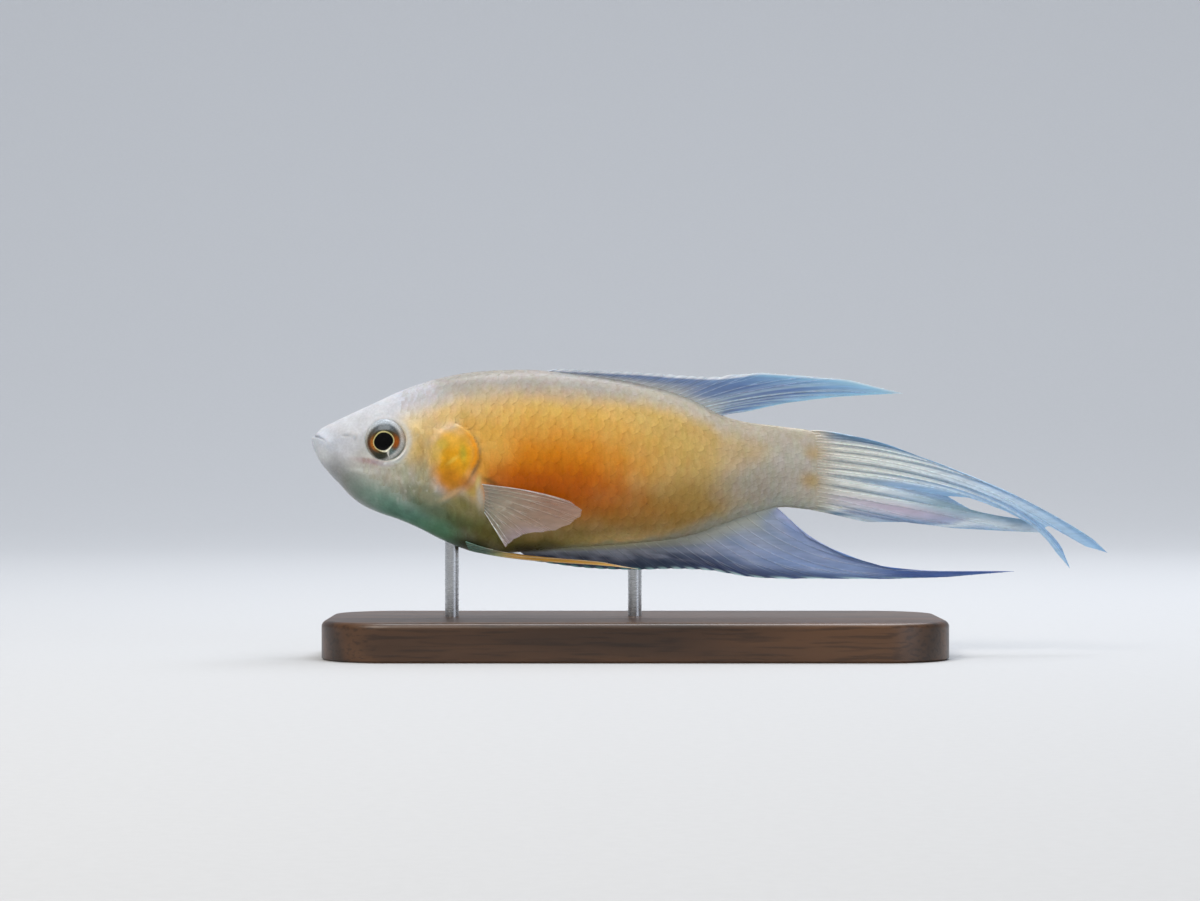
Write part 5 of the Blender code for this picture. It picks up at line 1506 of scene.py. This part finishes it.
def make_tail_fin(finishes):
    """The tail fin: two lobes of broad pale bands, dark at their outer edges, with streamers."""
    slate = blend_colours({0.0: "B2AEA4", 0.12: "909EAE", 0.4: "5F809C", 0.85: "6E96BA", 1.0: "8CB6DA"})
    lines = blend_colours({0.0: "B6B0A0", 0.1: "A6ACAC", 0.3: "98AAB6", 0.6: "98B8DA", 1.0: "90BAE2"})
    milk = blend_colours({0.0: "CEC9BA", 0.1: "EEEEE4", 0.3: "F2F8F6", 0.6: "D8EAFA", 1.0: "A4CAEC"})
    lilac = blend_colours({0.0: "CDC7BC", 0.1: "D0CCD2", 0.35: "B4BCD4", 0.7: "748AB2", 1.0: "94B4CE"})
    teal = blend_colours({0.0: "B4B0A2", 0.2: "B0BEC0", 0.5: "A8C2CA", 0.8: "8CACB8", 1.0: "86A8BA"})

    def folds(number, rays, width):
        """1 on the broad pale bands between the fin's folds and 0 in the narrow dark folds."""
        wander = number / rays + 0.14 * np.sin(0.9 * number + 0.6)
        fine = 0.86 + 0.14 * np.cos(2 * math.pi * 1.5 * number)
        return ease(0.5 + 0.5 * np.cos(2 * math.pi * wander), 0.0, width) * fine

    def upper(x, z, number, share, to_tip, on_ray):
        colour = mix(lines(share), milk(share), folds(number, 2.9, 0.45))
        colour = mix(colour, slate(share), 1 - ease(number, 2.2, 4.2))
        colour = mix(colour, linear("C4E2F8"), 0.6 * bump(number, 0.25) * ease(share, 0.1, 0.3))
        colour = mix(colour, linear("F4F9FC"), 0.08 * ease(number, 1.0, 4.0)) if on_ray else colour
        return mix(markings(x, z), colour, ease(x, 65.2, 68.6))

    def lower(x, z, number, share, to_tip, on_ray):
        colour = mix(lines(share), milk(share), folds(number + 0.9, 2.0, 0.5))
        inner = within(number, 0.3, 1.2, 3.9, 4.6) * ease(x, 75.0, 83.0)
        colour = mix(colour, teal(share), 0.8 * inner)
        colour = mix(colour, lilac(share), 0.8 * bump(number - 5.0, 1.3))
        colour = mix(colour, linear("D6C2D2"), 0.6 * bump(number - 4.4, 0.8) * bump(share - 0.42, 0.25))
        colour = mix(colour, linear("6E80A6"), 0.8 * bump(number - 6.8, 0.6) * ease(share, 0.2, 0.4))
        colour = mix(colour, slate(share), ease(number, 7.2, 7.8))
        edge = 0.8 * bump(number - 4.0 - 4.0 * (1 - ease(x, 76.0, 88.0)), 0.5) * ease(share, 0.4, 0.7)
        colour = mix(colour, linear("E4F0F6"), edge)
        colour = mix(colour, linear("EEF4FA"), 0.07 * (1 - ease(number, 5.0, 6.5))) if on_ray else colour
        return mix(markings(x, z), colour, ease(x, 65.2, 68.6))

    roots = float(back(TAIL_ROOT - 1.0)) - 0.1, TAIL_SPLIT - 0.06
    make_tail_lobe("tail_fin_upper_lobe", roots, UPPER_RAYS, (0, -8), -LOBE_SPREAD, upper, finishes,
                   STREAMER_BENDS, STREAMER_FORK)
    roots = TAIL_SPLIT + 0.06, float(belly(TAIL_ROOT - 1.0)) + 0.1
    make_tail_lobe("tail_fin_lower_lobe", roots, LOWER_RAYS, (-8, -10), LOBE_SPREAD, lower, finishes)


# Paired fins: tips are counted from the upper edge
PECTORAL_ROOT = ((22.3, -5.75), (22.6, -9.3))
PECTORAL_TIPS = [
    (33.6, -7.9), (35.2, -9.0), (35.0, -9.8), (33.6, -10.85), (31.8, -11.6), (30.0, -11.85),
    (28.4, -11.95), (27.0, -12.5), (26.1, -13.1), (25.4, -13.75),
]
PECTORAL_CURL = (4.0, 8.0)
PECTORAL_FLARE = 1.5
LEVEL_BY = 0.33
# x, z and lean of the first and the last pelvic ray at their roots
PELVIC_ROOT = ((20.5, -14.25, -14.0), (20.1, -13.2, -17.0))
PELVIC_SIDE = 1.6
PELVIC_TIP_LEAN = -8.0
PELVIC_TIPS = {
    "pelvic_fin_left": [(42.4, -16.75), (38.5, -16.0), (27.6, -15.0), (25.6, -14.65), (23.6, -14.2)],
    "pelvic_fin_right": [(37.2, -16.4), (34.0, -15.75), (27.0, -14.95), (25.0, -14.6), (23.2, -14.15)],
}


def flank(x, z):
    """Half the body's width at (x, z)."""
    middle = widest_height(x)
    upper = z >= middle
    reach = np.where(upper, back(x) - middle, middle - belly(x))
    share = np.clip(np.abs(z - middle) / np.maximum(reach, 1e-6), 0.0, 1.0)
    sharpness = np.where(upper, back_sharpness(x), belly_sharpness(x))
    return half_width(x) * (1 - share**2) ** (sharpness / 2)


def make_pectoral_fin(name, side, finishes):
    """A pectoral fin: clear, with the rays at its upper and lower edge painted white as a highlight, held
    off the flank.
    """
    paths = []
    for number, tip in enumerate(PECTORAL_TIPS):
        share = number / (len(PECTORAL_TIPS) - 1)
        root = between(*PECTORAL_ROOT, share)
        arrive = lean_of(root, tip) - PECTORAL_CURL[1] * (1 - share)
        paths.append(ray_path(root, tip, lean_of(root, tip) + PECTORAL_CURL[0], arrive))
    widest = max(value for _, value in HALF_WIDTH)

    def beside(x, z, share):
        lies = flank(x, z) + 0.1 - 0.35 * (1 - ease(share, 0.0, 0.09))
        hangs = widest + 0.55 + PECTORAL_FLARE * share
        blend = np.clip(share / LEVEL_BY, 0.0, 1.0)
        return side * (lies * (1 - blend) + hangs * blend)

    run = blend_colours({0.0: "B0AC9E", 0.3: "B0A898", 0.7: "AC9484", 1.0: "B49C90"})

    def tint(x, z, number, share, to_tip, on_ray):
        colour = mix(run(share), linear("9A998E"), 0.6 * ease(number, 5.0, 9.0))
        colour = mix(colour, linear("B8A8B4"), 0.7 * ease(number, 3.0, 6.0) * bump(to_tip, 1.4))
        if on_ray:
            colour = colour * (0.72 + 0.28 * ease(share, 0.15, 0.45))[..., None]
            # The rays grow a little paler outwards, and the rays of the upper and lower edge are painted
            # near white as a highlight
            strong = 0.12 * ease(share, 0.2, 0.5) + 0.7 * ease(number, 7.4, 9.0)
            strong = strong + 0.5 * (1 - ease(number, 0.0, 1.0))
            colour = mix(colour, linear("EFEFF0"), strong * (1 - 0.6 * ease(share, 0.5, 1.0)))
        return colour

    fin = Fin(paths, beside, sheet_half(thickness=0.07, swell=0.14, reach=0.15), tint)
    make_fin(name, fin, finishes, "clear_fin", radius=0.07, notch=0.15, forks=(0.38, 0.64))


def make_pelvic_fin(name, side, finishes):
    """A pelvic fin: a narrow amber blade under the belly, whose first ray is a long pale thread."""
    tips = PELVIC_TIPS[name]
    paths = []
    for number, tip in enumerate(tips):
        *root, leave = between(*PELVIC_ROOT, number / (len(tips) - 1))
        paths.append(ray_path(root, tip, leave, PELVIC_TIP_LEAN))

    def beside(x, z, share):
        return side * (np.maximum(flank(x, z), PELVIC_SIDE) + 0.25) + sweep(x)

    run = blend_colours({
        0.0: "668A7A", 0.06: "7E9684", 0.13: "B0AA70", 0.2: "E6AA4C", 0.6: "F4B044", 0.9: "F6BE66",
        1.0: "F8ECD4",
    })

    def tint(x, z, number, share, to_tip, on_ray):
        along = ease(x, 19.0, 44.0)
        colour = mix(run(along), linear("FAE0B4"), 0.5 * ease(along, 0.1, 0.2)) if on_ray else run(along)
        return mix(colour, linear("F8F0E0"), 0.7 * bump(to_tip, 0.7))

    fin = Fin(paths, beside, sheet_half(thickness=0.1, swell=0.12, reach=0.2), tint)
    make_fin(name, fin, finishes, "amber_fin", radius=0.1, notch=0.05, spines=len(tips))


# Stand
BASE_LENGTH = 80.0
BASE_WIDTH = 34.0
BASE_HEIGHT = 5.0
BASE_CENTRE = -10.0
BASE_CORNER = 9.0
BASE_ROUND = 0.8
BASE_CHAMFER = 0.25
ROUND_STEPS = 6
CORNER_STEPS = 16
ROD_RADIUS = 0.9
ROD_SIDES = 40
ROD_RINGS = 12
ROD_SUNK = 1.0
ROD_INSIDE = 0.5
ROD_FRONT = (18.2, 0.0)
ROD_REAR = (42.0, 2.5)


def make_base(finish):
    """The stand's base: a flat board with round corners and an eased upper edge."""
    levels = [(0.0, -BASE_CHAMFER), (BASE_CHAMFER, 0.0), (BASE_HEIGHT - BASE_ROUND, 0.0)]
    for step in range(1, ROUND_STEPS + 1):
        turn = math.pi / 2 * step / ROUND_STEPS
        levels.append((BASE_HEIGHT - BASE_ROUND * (1 - math.sin(turn)), -BASE_ROUND * (1 - math.cos(turn))))
    points = []
    for z, grown in levels:
        for corner_x, corner_y, start in ((1, 1, 0), (-1, 1, 90), (-1, -1, 180), (1, -1, 270)):
            for step in range(CORNER_STEPS + 1):
                turn = math.radians(start + 90 * step / CORNER_STEPS)
                radius = BASE_CORNER + grown
                points.append((
                    BASE_CENTRE + corner_x * (BASE_LENGTH / 2 - BASE_CORNER) + radius * math.cos(turn),
                    corner_y * (BASE_WIDTH / 2 - BASE_CORNER) + radius * math.sin(turn),
                    z,
                ))
    faces = tube_faces(len(levels), 4 * (CORNER_STEPS + 1))
    piece = new_piece("display_board", np.array(points) * MM, faces, finish, sharp_degrees=35.0)
    keep(piece, "walnut", "stand_base")


def underside(x, y):
    """Height of the body's underside at (x, y), with y counted from the middle line."""
    share = np.clip(abs(y) / half_width(x), 0.0, 1.0) ** (2 / belly_sharpness(x))
    middle = widest_height(x)
    return middle - (middle - belly(x)) * math.sqrt(1 - share)


def make_rod(name, node_name, x, y, finish):
    """A plain round rod from inside the board up into the fish."""
    foot = BASE_HEIGHT - SNOUT_HEIGHT - ROD_SUNK
    top = float(underside(x, y - float(sweep(x)))) + ROD_INSIDE
    turns = [2 * math.pi * j / ROD_SIDES for j in range(ROD_SIDES)]
    ring_points = [(x + ROD_RADIUS * math.cos(t), y + ROD_RADIUS * math.sin(t)) for t in turns]
    points = [(*spot, z) for z in np.linspace(foot, top, ROD_RINGS) for spot in ring_points]
    piece = new_piece(name, place(points), tube_faces(ROD_RINGS, ROD_SIDES), finish, sharp_degrees=50.0)
    keep(piece, "steel", node_name)


set_camera()
set_lights()
make_floor(studio_paper())
make_skin(fish_skin())
make_coat(scale_plate())
eye_finish = wet_eye()
make_eye("eye_left", -1, eye_finish)
make_eye("eye_right", 1, eye_finish)
blue = fin_finishes("blue", opacity=0.93, streak_mm=0.35, along=0.0)
make_dorsal_fin(blue)
make_anal_fin(blue)
make_tail_fin(fin_finishes("milky", opacity=0.9, streak_mm=0.35, along=0.2))
clear = fin_finishes("clear", opacity=0.47, streak_mm=0.3, along=0.3)
make_pectoral_fin("pectoral_fin_left", -1, clear)
make_pectoral_fin("pectoral_fin_right", 1, clear)
amber = fin_finishes("amber", opacity=0.93, streak_mm=0.3, along=0.1)
make_pelvic_fin("pelvic_fin_left", -1, amber)
make_pelvic_fin("pelvic_fin_right", 1, amber)
make_base(oiled_walnut())
steel = brushed_steel()
make_rod("display_rod_front", "stand_rod_front", *ROD_FRONT, steel)
make_rod("display_rod_rear", "stand_rod_rear", *ROD_REAR, steel)
